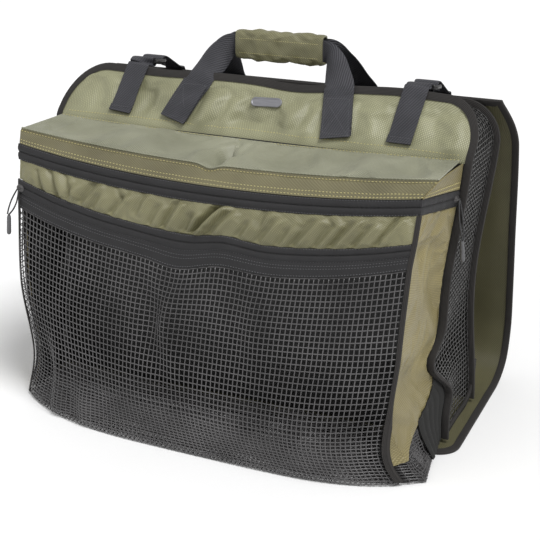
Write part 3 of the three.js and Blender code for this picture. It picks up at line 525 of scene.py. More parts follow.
# %% The panels' surfaces
YOKE_DENTS = [  # at and wide over half the width, up and tall over the yoke's height, deep in mm
    (-0.62, 0.35, 0.16, 0.5, 2.2), (-0.46, 0.6, 0.07, 0.35, -3.4), (-0.5, 0.2, 0.1, 0.3, 2.4),
    (-0.2, 0.4, 0.08, 0.4, -3.8), (-0.1, 0.15, 0.1, 0.3, 3.6), (0.03, 0.05, 0.1, 0.25, 3.4),
    (0.2, 0.45, 0.06, 0.4, -4.2), (0.29, 0.25, 0.07, 0.4, 3.0), (0.5, 0.5, 0.12, 0.5, -1.8),
    (0.62, 0.3, 0.12, 0.4, 1.6), (0.86, 0.3, 0.1, 0.6, -2.0),
]
TOP_WAVES = ((-0.55, -0.006, 0.2), (0.13, -0.013, 0.16), (0.62, 0.007, 0.16))  # at, rise over the height, wide
YOKE_CREASES = [  # at, slant, wide, deep, top, foot: from the top edge at 0 down to the seam at 1
    (-0.24, -0.1, 0.035, 2.8, 0.1, 0.95), (-0.53, -0.05, 0.03, 1.4, 0.4, 1.0), (-0.14, -0.06, 0.03, 2.2, 0.25, 1.0),
    (0.02, 0.1, 0.05, 1.8, 0.45, 1.0), (0.24, -0.05, 0.035, 3.0, 0.2, 0.95), (0.43, 0.05, 0.04, 1.2, 0.3, 0.9),
    (0.75, 0.1, 0.05, 1.3, 0.3, 0.9), (-0.85, 0.05, 0.05, 1.2, 0.2, 0.9),
]


def slump(x, height):
    """How far the lower right edge has buckled forward and inward: an S of two humps down the edge."""
    near = hump((x - HALF_WIDTH) / 60) * (x > 0)
    forward = -24 * hump((height - 112) / 24) + 10 * hump((height - 66) / 20)
    inward = -9 * hump((height - 112) / 26) + 3 * hump((height - 70) / 22)
    return inward * near, forward * near


def dents(a, d, table):
    """A sum of bells. Each is (at and wide across, at and wide down, deep)."""
    return sum(deep * hump((a - at) / wide) * hump((d - low) / tall) for at, low, wide, tall, deep in table)


def main_surface(x, height):
    """x stays; y leans by the table below the seam and evenly above it, plus dents and creases that fade
    near the tape and under sewn webbing; z is the height plus the waves of the top edge."""
    across, above = x / HALF_WIDTH, (height - SHELF) / (PANEL_HEIGHT - SHELF)
    yoke = np.maximum(0, above)
    fade = smoothstep(above, 0, 0.15) * (1 - smoothstep(above, 0.55, 0.8))
    soft = 1 - 0.8 * hump((np.abs(across) - 0.38) / 0.1) - 0.8 * hump((np.abs(across) - 0.68) / 0.08)
    dent = 2.2 * dents(across, above, YOKE_DENTS) + 2.6 * folds(across, 1 - above, YOKE_CREASES)
    dent = dent * soft + 0.9 * ripples(x, height, 60, 3)
    rise = sum(PANEL_HEIGHT * rise * hump((across - at) / wide) for at, rise, wide in TOP_WAVES)
    inward, forward = slump(x, height)
    y = PANEL_LEAN * main_back(np.minimum(height / SHELF, 1)) + YOKE_LEAN * yoke + dent * fade + forward
    return np.stack([x + YOKE_SHIFT * yoke + inward, y, height + rise * smoothstep(above, 0, 1)], -1)


def back_surface(x, height):
    """x and z stay; y follows the rear profile, with waves that fade towards the edges."""
    calm = smoothstep(height, 20, 80) * (1 - smoothstep(height, 330, 370)) * (1 - smoothstep(np.abs(x), 220, 262))
    y = REAR_DEPTH * rear_back(height / BACK_HEIGHT) + 1.6 * ripples(x, height, 150, 5) * calm
    return np.stack([x, y, height + 0 * x], -1)


def panel_half(height):
    """Half the width at a height: the sides are drawn in by a squared sine."""
    return HALF_WIDTH - SIDE_PULL * np.sin(np.pi * np.clip(height / SHELF, 0, 1)) ** 2


def corner_rows(straight, radius, count):
    """Rows round a corner: radius times the sine of even angles, past where the straight side ends."""
    return straight + (radius - INSET) * np.sin(np.linspace(0, np.pi / 2, count))[1:]


def corner_loss(past, radius):
    """How much narrower than its outline the cloth is, past the start of a rounded corner."""
    return radius - np.sqrt((radius - INSET) ** 2 - np.clip(past, 0, radius - INSET) ** 2)


def panel_cloth(surface, top, columns, rows):
    """Rows from the foot to the top edge, each as wide as the rounded outline is there."""
    round_start = top - CORNER
    heights = np.sort(np.concatenate([np.linspace(FOOT, SHELF - 12, rows)[:-1], np.linspace(SHELF - 12, round_start, 4),
                                      corner_rows(round_start, CORNER, 26)]))
    half = panel_half(heights) - corner_loss(heights - round_start, CORNER)
    x, height = np.linspace(-1, 1, columns) * half[:, None], np.repeat(heights[:, None], columns, 1)
    grid = surface(x, height)
    if surface is main_surface:
        free = (height > SHELF + 8) & (height < PANEL_HEIGHT - 12) & (np.abs(x) < 255)
        grid[rows:] = wrinkle(grid[rows:], ~free[rows:], 0.02, 4)
    points, quads, uvs, faces = cloth_body(grid, PANEL_WALL, inside=1)
    # The inside faces below the shelf, and all inside faces of the back panel, take the near-black finish.
    return points, quads, uvs, faces * ((points[quads[:, 0], 2] < SHELF - 8) | (surface is back_surface))


main_body, back_body = panel_cloth(main_surface, PANEL_HEIGHT, 170, 70), panel_cloth(back_surface, BACK_HEIGHT, 90, 50)
make_piece("main_cloth", [main_body], OLIVE_YOKE_PAINTED_LIGHT, ["main_panel"], finishes=[DARK_INSIDE])
make_piece("back_cloth", [back_body], OLIVE, ["back_panel"], finishes=[DARK_INSIDE])


# %% [markdown]
# ## Edge tape
# Each free edge is bound with tape folded over it. The tape's outline is a U: it starts inside on one
# face, goes over the cut edge and comes back on the other face. It is carried round the panel's outline,
# always square to the surface, so that it turns the corners as the cloth does.

# %% Edge tape
TAPE_INNER = PANEL_WALL / 2 + 0.35
TAPE_OUTER = TAPE_INNER + 1
turn = np.linspace(np.pi / 2, -np.pi / 2, 7)
over_edge = np.stack([-0.2 - 1.4 * np.cos(turn) ** 0.7, TAPE_OUTER * np.sin(turn)], -1)
outer = np.array([(TAPE_WIDTH, TAPE_OUTER - 0.35), (TAPE_WIDTH - 1, TAPE_OUTER), (TAPE_WIDTH / 2, TAPE_OUTER + 0.15)])
inner = np.array([(0, TAPE_INNER * 0.5), (0.2, TAPE_INNER * 0.8), (1, TAPE_INNER), (TAPE_WIDTH / 2, TAPE_INNER),
                  (TAPE_WIDTH - 0.4, TAPE_INNER)])
across_cloth = (1, -1)
TAPE_OUTLINE = np.concatenate([outer, over_edge, (outer * across_cloth)[::-1], (inner * across_cloth)[::-1],
                               [(0, 0), (0, 0.01)], inner])


def upright_outline(top, side=70, corner=18, middle=110):
    """Up the right side, round both top corners and down the left side: x, run and the way inward."""
    run = np.linspace(FOOT, top - CORNER, side)
    angle = np.linspace(0, np.pi / 2, corner)[1:]
    shoulder = panel_half(top) - CORNER
    right = np.concatenate([
        np.stack([panel_half(run), run, -np.ones(side), np.zeros(side)], -1),
        np.stack([shoulder + CORNER * np.cos(angle), top - CORNER * (1 - np.sin(angle)), -np.cos(angle),
                  -np.sin(angle)], -1),
    ])
    x = np.linspace(shoulder, -shoulder, middle)[1:-1]
    level = np.stack([x, np.full_like(x, top), 0 * x, -np.ones_like(x)], -1)
    return np.concatenate([right, level, (right * [-1, 1, -1, 1])[::-1]])


def surface_frame(surface, x, run, small=0.5):
    """Places on a surface and the unit normals there."""
    across = surface(x + small, run) - surface(x - small, run)
    along = surface(x, run + small) - surface(x, run - small)
    return surface(x, run), unit(np.cross(across, along))


def inset_frame(surface, edge, inset):
    """Places and normals at edge + inset times the way inward: a row for each point of the edge."""
    x, run, x_way, run_way = (edge[:, k:k + 1] for k in range(4))
    return surface_frame(surface, x + x_way * inset, run + run_way * inset)


def tape_body(surface, edge):
    """Outline point (inset, lift): inset goes inward over the surface, lift along its normal."""
    inset, lift = TAPE_OUTLINE.T
    place, normal = inset_frame(surface, edge, inset)
    puff = 1 + 0.06 * ripples(np.arange(len(edge))[:, None], 0 * inset[None, :], 9, 4)
    return ring_body(place + normal * (lift * puff)[..., None])


main_tape = tape_body(main_surface, upright_outline(PANEL_HEIGHT))
make_piece("main_edge_tape", [main_tape], BINDING, ["main_binding"])


FOOT_ROUTE = [(272, 92, 60), (272, 84, 26), (270, 68, 10), (268, 40, 5), (268, 5, 5), (269, -22, 8)]


def foot_turn(sign):
    """The back panel's tape goes on at the foot, forward along the net's foot to the main panel."""
    path = smooth_path(np.array(FOOT_ROUTE) * [sign, 1, 1], 50)
    along = unit(np.gradient(path, axis=0))
    first = np.zeros_like(path) + [1.0, 0, 0]
    return tube_body(path, first, np.cross(first, along), round_outline(4.6, 9, 16, 3.0))


back_tape = tape_body(back_surface, upright_outline(BACK_HEIGHT))
make_piece("back_edge_tape", [back_tape, foot_turn(-1), foot_turn(1)], BINDING, ["back_binding"])

# %% [markdown]
# ## The mat
# A wide mat is fastened at the top of the back panel, hangs behind the bag, folds at the ground and runs
# forward under it. Its side view is one curve; every place on the mat is a distance along that curve and
# a distance to the side. It is a sheet of cloth.

# %% The mat
MAT_REST = TAPE_OUTER
mat_line = [(0, REAR_DEPTH + 2 * MAT_REST + 1.05, BACK_HEIGHT)]
mat_line += [(0, MAT_REACH * back, BACK_HEIGHT * up) for back, up in
             ((0.79, 0.91), (0.86, 0.77), (0.92, 0.52), (0.98, 0.3), (1, 0.16), (0.93, 0.055), (0.76, 0.012))]
mat_line += [(0, MAT_REACH / 2, MAT_REST), (0, 0, MAT_REST), (0, -MAT_FRONT, MAT_REST)]
mat_path = smooth_path(mat_line, 600)
MAT_LENGTH = lengths(mat_path)[-1]
mat_run = np.linspace(0, MAT_LENGTH, 600)


def mat_surface(x, run):
    """The side curve at that run, straight on past its ends, with soft waves where it hangs free."""
    past = run - np.clip(run, 0, MAT_LENGTH)
    y, z = (np.interp(run, mat_run, mat_path[:, k]) for k in (1, 2))
    first, last = unit(mat_path[1] - mat_path[0]), unit(mat_path[-1] - mat_path[-2])
    y, z = (v + past * np.where(past < 0, first[k], last[k]) for v, k in ((y, 1), (z, 2)))
    free = smoothstep(run, 60, 150) * (1 - smoothstep(run, 330, 400)) * (1 - smoothstep(np.abs(x), 235, 270))
    return np.stack([x + 0 * run, y + 3.5 * ripples(x, run, 190, 8) * free, np.maximum(z, MAT_REST)], -1)


def mat_half(run):
    """Half the width at a run: it grows by a sine over the taper at the top."""
    return mix(MAT_TOP_HALF, MAT_HALF, np.sin(np.clip(run / MAT_TAPER, 0, 1) * np.pi / 2))


round_start = MAT_LENGTH - MAT_CORNER
runs = np.concatenate([np.linspace(INSET, round_start, 120), corner_rows(round_start, MAT_CORNER, 14)])
x = np.linspace(-1, 1, 90) * (mat_half(runs) - corner_loss(runs - round_start, MAT_CORNER))[:, None]
mat_body = cloth_body(mat_surface(x, runs[:, None] + 0 * x), PANEL_WALL)
mat = make_piece("mat_cloth", [mat_body], MAT_OLIVE, ["mat"])


side_runs = np.linspace(round_start, 0, 145)[1:]
right = joined(mat_half(side_runs), side_runs, -1, 0)
right[-1, 3] = 1
front = joined(np.linspace(0.2, MAT_HALF - MAT_CORNER, 60)[:-1], MAT_LENGTH, 0, -1)
sine, cosine = (f(np.linspace(0, np.pi / 2, 14)) for f in (np.sin, np.cos))
corner = joined(MAT_HALF - MAT_CORNER * (1 - sine), MAT_LENGTH - MAT_CORNER * (1 - cosine), -sine, -cosine)
edge = np.concatenate([front, corner, right])
edge = np.concatenate([edge, (edge * [-1, 1, -1, 1])[::-1]])
mat_tape = make_piece("mat_edge_tape", [tape_body(mat_surface, edge)], BINDING, ["mat_binding"])

# %% [markdown]
# ## The pocket's skin
# The pocket hangs on the front of the main panel. Its skin is one function of two shares: across runs
# from corner to corner over the front and on over both sides, down counts the rows of the table, from
# the shelf's seam over the zips and the net to the foot. Every cloth, zip and net of the pocket is a
# patch of this skin.

# %% The pocket's skin
ROWS = [  # name, corners left right, up left mid right, ends left right, out left mid right, all shares
    ("seam", 0.985, 0.985, 1, 0.984, 1, 1, 1, 0, 0, 0),
    ("ridge", 0.995, 0.982, 1.006, 0.957, 1, 1, 1, 0.66, 0.64, 0.63),
    ("zip_top", 0.993, 0.925, 0.956, 0.898, 0.942, 0.93, 0.905, 0.7, 0.75, 0.7),
    ("zip_foot", 0.99, 0.923, 0.9, 0.842, 0.892, 0.875, 0.852, 0.72, 0.78, 0.72),
    ("band_top", 0.985, 0.92, 0.835, 0.735, 0.808, 0.8, 0.78, 0.76, 0.87, 0.79),
    ("band_foot", 0.985, 0.91, 0.735, 0.634, 0.728, 0.7, 0.7, 0.79, 0.93, 0.84),
    ("net_high", 1, 0.9, 0.44, 0.4, 0.45, 0.44, 0.44, 0.8, 1.1, 0.96),
    ("net_low", 0.95, 0.893, 0.17, 0.15, 0.17, 0.18, 0.18, 0.82, 1.26, 1),
    ("foot", 0.985, 1.04, 0.009, 0.007, 0.009, 0.028, 0.028, 0.85, 1.27, 0.9),
]
SEAM, RIDGE, ZIP_TOP, ZIP_FOOT, BAND_TOP, BAND_FOOT, NET_HIGH, NET_LOW, FOOT_ROW = range(9)
ROW_WAVES = {BAND_TOP: [(0.13, 0.018, 0.12)], BAND_FOOT: [(-0.1, -0.018, 0.13), (0.13, 0.018, 0.16)]}
POCKET_Y = -(TAPE_OUTER + 1.2)


def row_point(row, across):
    """One row from corner to corner: a straight line bowed out and up by its middle values."""
    _, left, right, up_l, up_m, up_r, _, _, out_l, out_m, out_r = ROWS[row]
    side = (across + 1) / 2
    out = mix(out_l, out_r, side) + (out_m - (out_l + out_r) / 2) * (1 - across**4)
    up = mix(up_l, up_r, side) + (up_m - (up_l + up_r) / 2) * (1 - across**2)
    for at, rise, wide in ROW_WAVES.get(row, []):
        up = up + rise * hump((across - at) / wide)
    return np.stack([POCKET_HALF * mix(-left, right, side), POCKET_Y - POCKET_DEPTH * out, SHELF * up], -1)


def side_end(down, sign):
    """Where the skin ends at the main panel, in front of its tape."""
    left, right = (np.array([row[k] for row in ROWS]) for k in (6, 7))
    rows = np.arange(len(ROWS))
    height = SHELF * np.where(sign < 0, np.interp(down, rows, left), np.interp(down, rows, right))
    x = sign * (panel_half(height) - 9)
    inward, forward = slump(x, height)
    return np.stack([x + inward, PANEL_LEAN * main_back(height / SHELF) + POCKET_Y + forward, height], -1)


def front_skin(across, down):
    """Straight between rows down to the net, a curve over the net, and straight again over the floor."""
    rows = np.stack([row_point(k, across) for k in range(len(ROWS))])
    k = np.clip(np.floor(down), 0, BAND_FOOT - 1).astype(int)
    pick = lambda index: np.take_along_axis(rows, index[None, ..., None].repeat(3, -1), 0)[0]
    upper = mix(pick(k), pick(k + 1), (down - k)[..., None])
    p = [rows[BAND_FOOT], rows[NET_HIGH], rows[NET_LOW], rows[FOOT_ROW]]
    p = [2 * p[0] - p[1], *p, 2 * p[3] - p[2]]
    share = np.clip(down - BAND_FOOT, 0, 3)
    part = np.clip(np.floor(share), 0, 2)
    net = sum(through(*p[j:j + 4], (share - j)[..., None]) * (part == j)[..., None] for j in range(3))
    heel = side_end(np.full_like(across, FOOT_ROW), 1.0)
    heel[..., 0] *= across
    floor = mix(rows[FOOT_ROW], heel, np.clip(down - FOOT_ROW, 0, 1)[..., None])
    return np.where((down > FOOT_ROW)[..., None], floor, np.where((down > BAND_FOOT)[..., None], net, upper))


def skin(across, down):
    """The front from -1 to 1, and from there to -2 and 2 straight to the main panel."""
    across, down = np.broadcast_arrays(np.asarray(across, float), np.asarray(down, float))
    past = np.abs(across) - 1
    front = front_skin(np.clip(across, -1, 1), down)
    end = side_end(np.minimum(down, FOOT_ROW), np.sign(across))
    return np.where((past > 0)[..., None], mix(front, end, np.clip(past, 0, 1)[..., None]), front)


def skin_out(across, down):
    """The skin's outward unit normal."""
    small = 2e-3
    a = skin(across + small, down) - skin(across - small, down)
    d = skin(across, down + small) - skin(across, down - small)
    return unit(np.cross(d, a))


def corner_at(down):
    """Where the right corner seam runs: at 1, and a little inward near the foot."""
    return 1 - 0.1 * smoothstep(down, NET_LOW - 0.5, FOOT_ROW - 0.1)


def raised(a, d, height):
    """Places on the skin, lifted by a height along its outward normal."""
    return skin(a, d) + skin_out(a, d) * np.asarray(height)[..., None]


def patch(acrosses, downs):
    """A grid of places on the skin: rows of down, columns of across."""
    return np.meshgrid(np.asarray(acrosses, float), np.asarray(downs, float))


# %% [markdown]
# ## Pocket top and its side facets
# The top is a wide flat shelf that has sunk a little, ends in a stitched ridge and drops as a narrow
# facing to the zip. Soft dents make it look filled and handled.

# %% Pocket top
EDGE = 1 - 1.5 / POCKET_HALF
SIDE_EDGE = 1 + 1.5 / (POCKET_DEPTH * 0.7)
SHELF_DENTS = [(-0.03, 0.5, 0.07, 0.32, -17), (-0.13, 0.75, 0.05, 0.3, 8), (0.12, 0.25, 0.12, 0.3, -5),
               (0.32, 0.6, 0.14, 0.4, -5), (-0.45, 0.5, 0.2, 0.5, 4), (-0.82, 0.4, 0.12, 0.4, -6),
               (0.62, 0.5, 0.18, 0.4, 4), (0.86, 0.45, 0.1, 0.4, -5)]
SHELF_CREASES = [(-0.06, 0.05, 0.03, 5.0, 0.3, 1.0), (0.3, 0.14, 0.04, 1.6, 0.05, 0.6), (0.78, 0.16, 0.035, 1.8, 0.1, 0.95),
                 (-0.6, -0.12, 0.05, 1.2, 0.15, 0.8), (0.05, -0.06, 0.03, 1.5, 0.1, 0.7)]


def skin_ripples(a, d, deep, size, seed):
    """Ripples over the skin, whose rows lie deep millimetres apart."""
    return ripples(a * POCKET_HALF, d * deep, size, seed)


def shelf_grid(a, d):
    """The skin, pressed in by dents and creases that fade at the seams, with one dip of the ridge. The
    facing gets small ripples, and the seams stand up as soft rolls."""
    fade = np.sin(np.pi * np.clip(d, 0, 1)) ** 1.2 * (1 - smoothstep(np.abs(a), 0.9, 1))
    sink = dents(a, d, SHELF_DENTS) - 1.6 * folds(a, d, SHELF_CREASES) + 1.3 * skin_ripples(a, d, 90, 80, 11)
    facing = np.sin(np.pi * np.clip(d - 1, 0, 1)) * skin_ripples(a, d, 20, 36, 12)
    roll = 1.2 * hump((d - 0.985) / 0.025) - 1.0 * hump((d - 1.13) / 0.07) - 1.2 * hump((d - 0.02) / 0.025)
    sink = sink * fade - 5 * hump((a + 0.03) / 0.045) * hump((d - 1) / 0.3)
    return skin(a, d) + sink[..., None] * UP - skin_out(a, d) * (facing - roll)[..., None]


columns = np.linspace(-EDGE, EDGE, 220)
rows = np.concatenate([np.linspace(0.01, 0.07, 6), np.linspace(0.09, 0.93, 40), np.linspace(0.95, 1.0, 6)])
a, d = patch(columns, rows)
seams = (d < 0.04) | (d > 0.98) | (np.abs(a) > 0.99)
shelf = cloth_body(wrinkle(shelf_grid(a, d), seams, 0.02, 5), CLOTH_WALL)
facing = cloth_body(shelf_grid(*patch(columns, np.linspace(1.01, 1.99, 22))), CLOTH_WALL, outside=1, inside=1)
make_piece("pocket_top_cloth", [shelf, facing], OLIVE_TOP_PAINTED_SHEEN, ["pocket_top"], finishes=[OLIVE_FACING_PAINTED_SHADE])


def facet(sign):
    """The side piece above the zip, pressed in by the product of two sines."""
    a, d = patch(sign * np.linspace(SIDE_EDGE, 2, 24), np.linspace(1.13, 1.98, 14))
    inside = np.sin(np.pi * (np.abs(a) - 1)) * np.sin(np.pi * (d - 1))
    return cloth_body(raised(a, d, -2.2 * inside), CLOTH_WALL)


for side, sign in SIDES:
    make_piece(f"{side}_facet_cloth", [facet(sign)], OLIVE_SIDE_PAINTED_LIGHT, [f"{side}_gusset_top"])


# %% [markdown]
# ## Zips
# Both zips are woven bands. Two folded tape lips meet over the teeth, so that a zip shows as two low
# rolls with a groove between them. The lower zip carries a wide band below it, sewn with lines of thread.

# %% Zips
def lips(share, middle, wide):
    """Height of two rolls at both sides of the groove at middle: about 1 mm proud."""
    away = np.abs(share - middle) / wide
    return 1.3 * np.sqrt(np.clip(1 - ((away - 0.55) / 0.45) ** 2, 0, 1)) - 0.5 * hump(away / 0.12)


def pocket_zip_grid(a, d):
    """Two lips in the middle of the band and a flat hem beyond each."""
    share = d - ZIP_TOP
    hems = 0.5 * smoothstep(np.abs(share - 0.5), 0.36, 0.4)
    return raised(a, d, lips(share, 0.5, 0.4) + hems + 0.3 * skin_ripples(a, d, 20, 30, 21))


def net_zip_grid(a, d):
    """Two lips in the upper half of the band, and the wide tape below them."""
    share = d - BAND_TOP
    return raised(a, d, lips(share, 0.24, 0.22) + 0.6 * smoothstep(share, 0.5, 0.53) + 0.4 * skin_ripples(a, d, 36, 40, 22))


columns = np.concatenate([np.linspace(-2, -1.02, 24), np.linspace(-1, 1, 160), np.linspace(1.02, 2, 24)])
band = pocket_zip_grid(*patch(columns, np.linspace(ZIP_TOP + 0.012, ZIP_FOOT - 0.012, 41)))
make_piece("pocket_zip_band", [cloth_body(band, ZIP_WALL)], ZIP_TAPE, ["pocket_zip"])
band = net_zip_grid(*patch(np.linspace(-EDGE, EDGE, 170), np.linspace(BAND_TOP + 0.012, BAND_FOOT - 0.012, 45)))
make_piece("net_zip_band", [cloth_body(band, ZIP_WALL)], ZIP_TAPE, ["net_zip"])

# %% [markdown]
# ## The gathered panel between the zips
# The cloth between the two zips is longer than the zips it is sewn to, so it puckers. Each pucker is a
# crease: a ridge beside a valley, strongest at one seam and slanting to the other.

# %% Gathered panel
GATHERS = [  # at, slant, wide, deep, top, foot
    (0.085, -0.14, 0.026, 9.0, -0.2, 1.2), (0.15, -0.12, 0.03, 4.0, 0.2, 1.2), (-0.02, -0.08, 0.025, 4.5, 0.35, 1.2),
    (-0.12, -0.08, 0.022, 4.2, 0.1, 1.2), (-0.2, -0.07, 0.02, 3.4, 0.3, 1.2), (-0.3, -0.05, 0.02, 2.6, -0.2, 0.7),
    (-0.38, -0.1, 0.022, 3.6, 0.2, 1.2), (-0.5, -0.08, 0.02, 2.6, 0.4, 1.2), (-0.56, -0.09, 0.025, 3.8, -0.2, 0.9),
    (-0.66, -0.06, 0.02, 2.8, 0.3, 1.2), (-0.73, 0.05, 0.02, 2.6, -0.2, 0.8), (-0.82, 0.06, 0.022, 3.6, 0.0, 1.2),
    (-0.9, 0.05, 0.018, 2.6, 0.2, 1.2), (0.26, -0.08, 0.02, 2.6, 0.4, 1.2), (0.31, -0.05, 0.02, 2.4, -0.2, 0.5),
    (0.38, -0.11, 0.024, 3.2, 0.25, 1.2), (0.47, -0.1, 0.02, 2.6, 0.45, 1.2), (0.56, -0.12, 0.024, 3.4, 0.15, 1.2),
    (0.65, -0.1, 0.022, 3.0, 0.3, 1.2), (0.74, -0.12, 0.022, 3.8, 0.2, 1.2), (0.83, -0.11, 0.02, 3.4, 0.3, 1.2),
    (0.92, -0.1, 0.02, 3.6, 0.1, 1.2), (0.6, 0.1, 0.02, 1.6, -0.2, 0.4), (-0.45, 0.1, 0.02, 1.6, -0.2, 0.4),
]
a, d = patch(np.linspace(-EDGE, EDGE, 330), np.linspace(ZIP_FOOT + 0.01, BAND_TOP - 0.01, 40))
down = d - ZIP_FOOT
edge_fade = np.clip(np.minimum(down, 1 - down) / 0.14, 0, 1) ** 0.8 * (1 - smoothstep(np.abs(a), 0.95, 1))
fullness = 3.0 * np.sin(np.pi * down)
height = (fullness - 1.25 * folds(a, down, GATHERS) + 0.5 * skin_ripples(a, d, 40, 40, 31)) * edge_fade
seams = (down < 0.03) | (down > 0.97) | (np.abs(a) > 0.99)
gathered = wrinkle(raised(a, d, height), seams, 0.02, 6, stiffness=4)
make_piece("gathered_cloth", [cloth_body(gathered, CLOTH_WALL)], OLIVE, ["pleated_panel"])

# %% [markdown]
# ## The nets
# A net could be a flat sheet with holes in its finish, but then its strands would have no depth. Here
# every strand is a thin tube, and neighbouring strands pass over and under each other at the crossings,
# with a pitch of about 6 mm. Strands are flattened, because the net is coated.

# %% Nets
STRAND_THICK = 0.9


def strand_bodies(grid, normals, width, weave=0.3):
    """Tubes along every row and every column of a grid. At the crossings a row rises by weave where a
    column sinks, turn by turn like a chessboard."""
    turns = np.indices(grid.shape[:2]).sum(0) % 2 * 2 - 1
    a, b = round_outline(width, STRAND_THICK, 6).T
    bodies = []
    for lines, out, board in ((grid, normals, turns), (grid.transpose(1, 0, 2), normals.transpose(1, 0, 2), -turns.T)):
        middle = lines + out * (weave * board)[..., None]
        side = unit(np.cross(np.gradient(middle, axis=1), out))
        bodies.append(many_bodies(middle[:, :, None] + a[:, None] * side[:, :, None] + b[:, None] * out[:, :, None]))
    return bodies


NET_WAVES = [(-0.28, 0.3, 0.06, 6.0, -0.2, 0.5), (-0.12, -0.25, 0.05, 4.5, -0.2, 0.4), (0.2, 0.2, 0.06, 3.5, -0.2, 0.4),
             (-0.86, 0.03, 0.05, 5.0, 0.55, 1.3), (-0.7, 0.05, 0.05, 4.0, 0.7, 1.3), (0.9, 0.02, 0.05, 4.5, 0.75, 1.3),
             (0.78, 0.06, 0.05, 3.0, 0.8, 1.3)]
hanging, lying = np.linspace(BAND_FOOT + 0.01, FOOT_ROW, 42), np.linspace(FOOT_ROW, FOOT_ROW + 0.97, 12)[1:]
a, d = patch([-1.13, -1.065, *np.linspace(-EDGE, EDGE, 88)], [*hanging, *lying])
a = np.where(a > 0, a * corner_at(d), a)
share = (d - BAND_FOOT) / 3
sway = 1.6 * skin_ripples(a, d, 80, 120, 41) - folds(a, share, NET_WAVES)
sway = sway * smoothstep(share, 0, 0.15) * (1 - smoothstep(d, FOOT_ROW - 0.15, FOOT_ROW))
out = skin_out(a, np.minimum(d, FOOT_ROW - 0.02))
net_grid = skin(a, d) + out * sway[..., None]
net_grid[..., 2] = np.maximum(net_grid[..., 2], 1.2)
hung_net = strand_bodies(net_grid, np.where((d > FOOT_ROW + 0.01)[..., None], UP, out), 1.5)
under = skin(*patch(np.linspace(-0.99, 0.99, 88), np.linspace(FOOT_ROW + 0.06, FOOT_ROW + 0.96, 22))) + 1.6 * UP
floor_net = strand_bodies(under, UP + 0 * under, 2.8, 0.2)
make_piece("front_net_strands", [*hung_net, *floor_net], NET_PAINTED_HIGHLIGHTS, ["front_net"], sharp=3.2)


# %% Rear net
def rear_grid(around, across):
    """Between the two panels: straight lines from the main panel's edge to the back panel's."""
    edges = []
    for surface, top, lift in ((main_surface, PANEL_HEIGHT, -4.5), (back_surface, BACK_HEIGHT, 4.5)):
        place, normal = inset_frame(surface, upright_outline(top), 6)
        edges.append(smooth_path((place + normal * lift)[::6, 0], around))
    return mix(edges[0][None], edges[1][None], np.linspace(0, 1, across)[:, None, None])


AROUND, ACROSS, PITCH = 205, 15, 6.3
grid = rear_grid(AROUND, ACROSS)
normals = grid_normals(grid)
normals = normals * np.sign(np.einsum("ijk,ijk->ij", normals, grid - grid.mean((0, 1))))[..., None]
hollow = 5 * np.sin(np.pi * np.linspace(0, 1, ACROSS))[:, None]
hollow = hollow * ripples(np.arange(AROUND)[None, :] * PITCH, np.zeros((ACROSS, 1)), 260, 43)
grid = grid - normals * np.abs(hollow)[..., None]
make_piece("rear_net_strands", strand_bodies(grid, normals, 1.4), REAR_NET, ["rear_mesh"], sharp=3.2)

# %% [markdown]
# ## Gussets
# The pocket's sides are plain cloth walls between the front's corner seam and the main panel. The right
# one has slumped: its lower end is drawn in towards the corner, and a ribbed tape and a fold of net
# finish it at the foot.

# %% Gussets
SIDE_CREASES = [(0.55, -0.35, 0.08, 3.2, 0.05, 0.5), (0.35, 0.1, 0.06, 1.6, 0.25, 0.7), (0.75, -0.3, 0.06, 2.4, 0.3, 0.75),
                (0.3, 0.25, 0.06, 2.2, 0.6, 1.2), (0.6, 0.1, 0.05, 2.0, 0.7, 1.2)]
SLUMPED_FOOT = (FOOT_ROW - 0.35, FOOT_ROW - 1.25)


def slanted(a, foot):
    """The row of a foot line that runs from foot[0] at the corner seam to foot[1] at the main panel."""
    return mix(foot[0], foot[1], np.maximum(a - 1, 0) ** 0.8)


def gusset_body(sign, foot, start):
    """Rows run from the zip to the foot line, which may slant: foot is its down at both sides."""
    share = np.linspace(0, 1, 90)[:, None]
    a = np.linspace(start, 2, 60)[None, ::sign] + 0 * share
    d = mix(ZIP_FOOT + 0.01, slanted(a, foot), share)
    a = np.where(sign > 0, 2 - (2 - a) * (2.006 - corner_at(d)) / (2 - start), a)
    inside = np.sin(np.pi * np.clip(a - 1, 0, 1)) ** 0.7 * np.sin(np.pi * np.clip(share, 0.0, 0.97)) ** 0.5
    press = folds(a - 1, share, SIDE_CREASES) + 1.2 * ripples(a * 110, d * 60, 90, 51) + 2.5
    rim = (share < 0.01) | (share > 0.99) | (a > 1.99) | (a < a.min(1, keepdims=True) + 0.01)
    grid = raised(sign * a, d, -(press * inside))
    return cloth_body(wrinkle(grid, rim, 0.025, 6), CLOTH_WALL, inside=1)


STRAIGHT_FOOT = (FOOT_ROW - 0.02, FOOT_ROW - 0.02)
for (side, sign), foot, start in zip(SIDES, (STRAIGHT_FOOT, SLUMPED_FOOT), (1.14, SIDE_EDGE)):
    gusset = gusset_body(sign, foot, start)
    make_piece(f"{side}_side_cloth", [gusset], OLIVE_SIDE_PAINTED_LIGHT, [f"{side}_gusset"], finishes=[DARK_INSIDE])


# %% Corner tapes
def corner_tape(start, end, high, low):
    """A strip of the skin, 1.3 mm proud, which follows the right corner seam where it is on the right."""
    a, d = patch(np.linspace(start, end, 7), np.linspace(high, low, 120))
    a = a + (corner_at(d) - 1 if start > 0 else 0)
    return cloth_body(raised(a, d, 1.3), 1.2)


make_piece("corner_tapes", [
    corner_tape(0.988, 1.02, ZIP_FOOT + 0.02, FOOT_ROW - 0.05), corner_tape(-1.17, -1.1, BAND_TOP + 0.02, FOOT_ROW - 0.05),
    corner_tape(-1.02, -0.99, BAND_TOP + 0.02, FOOT_ROW - 0.02),
], BINDING)


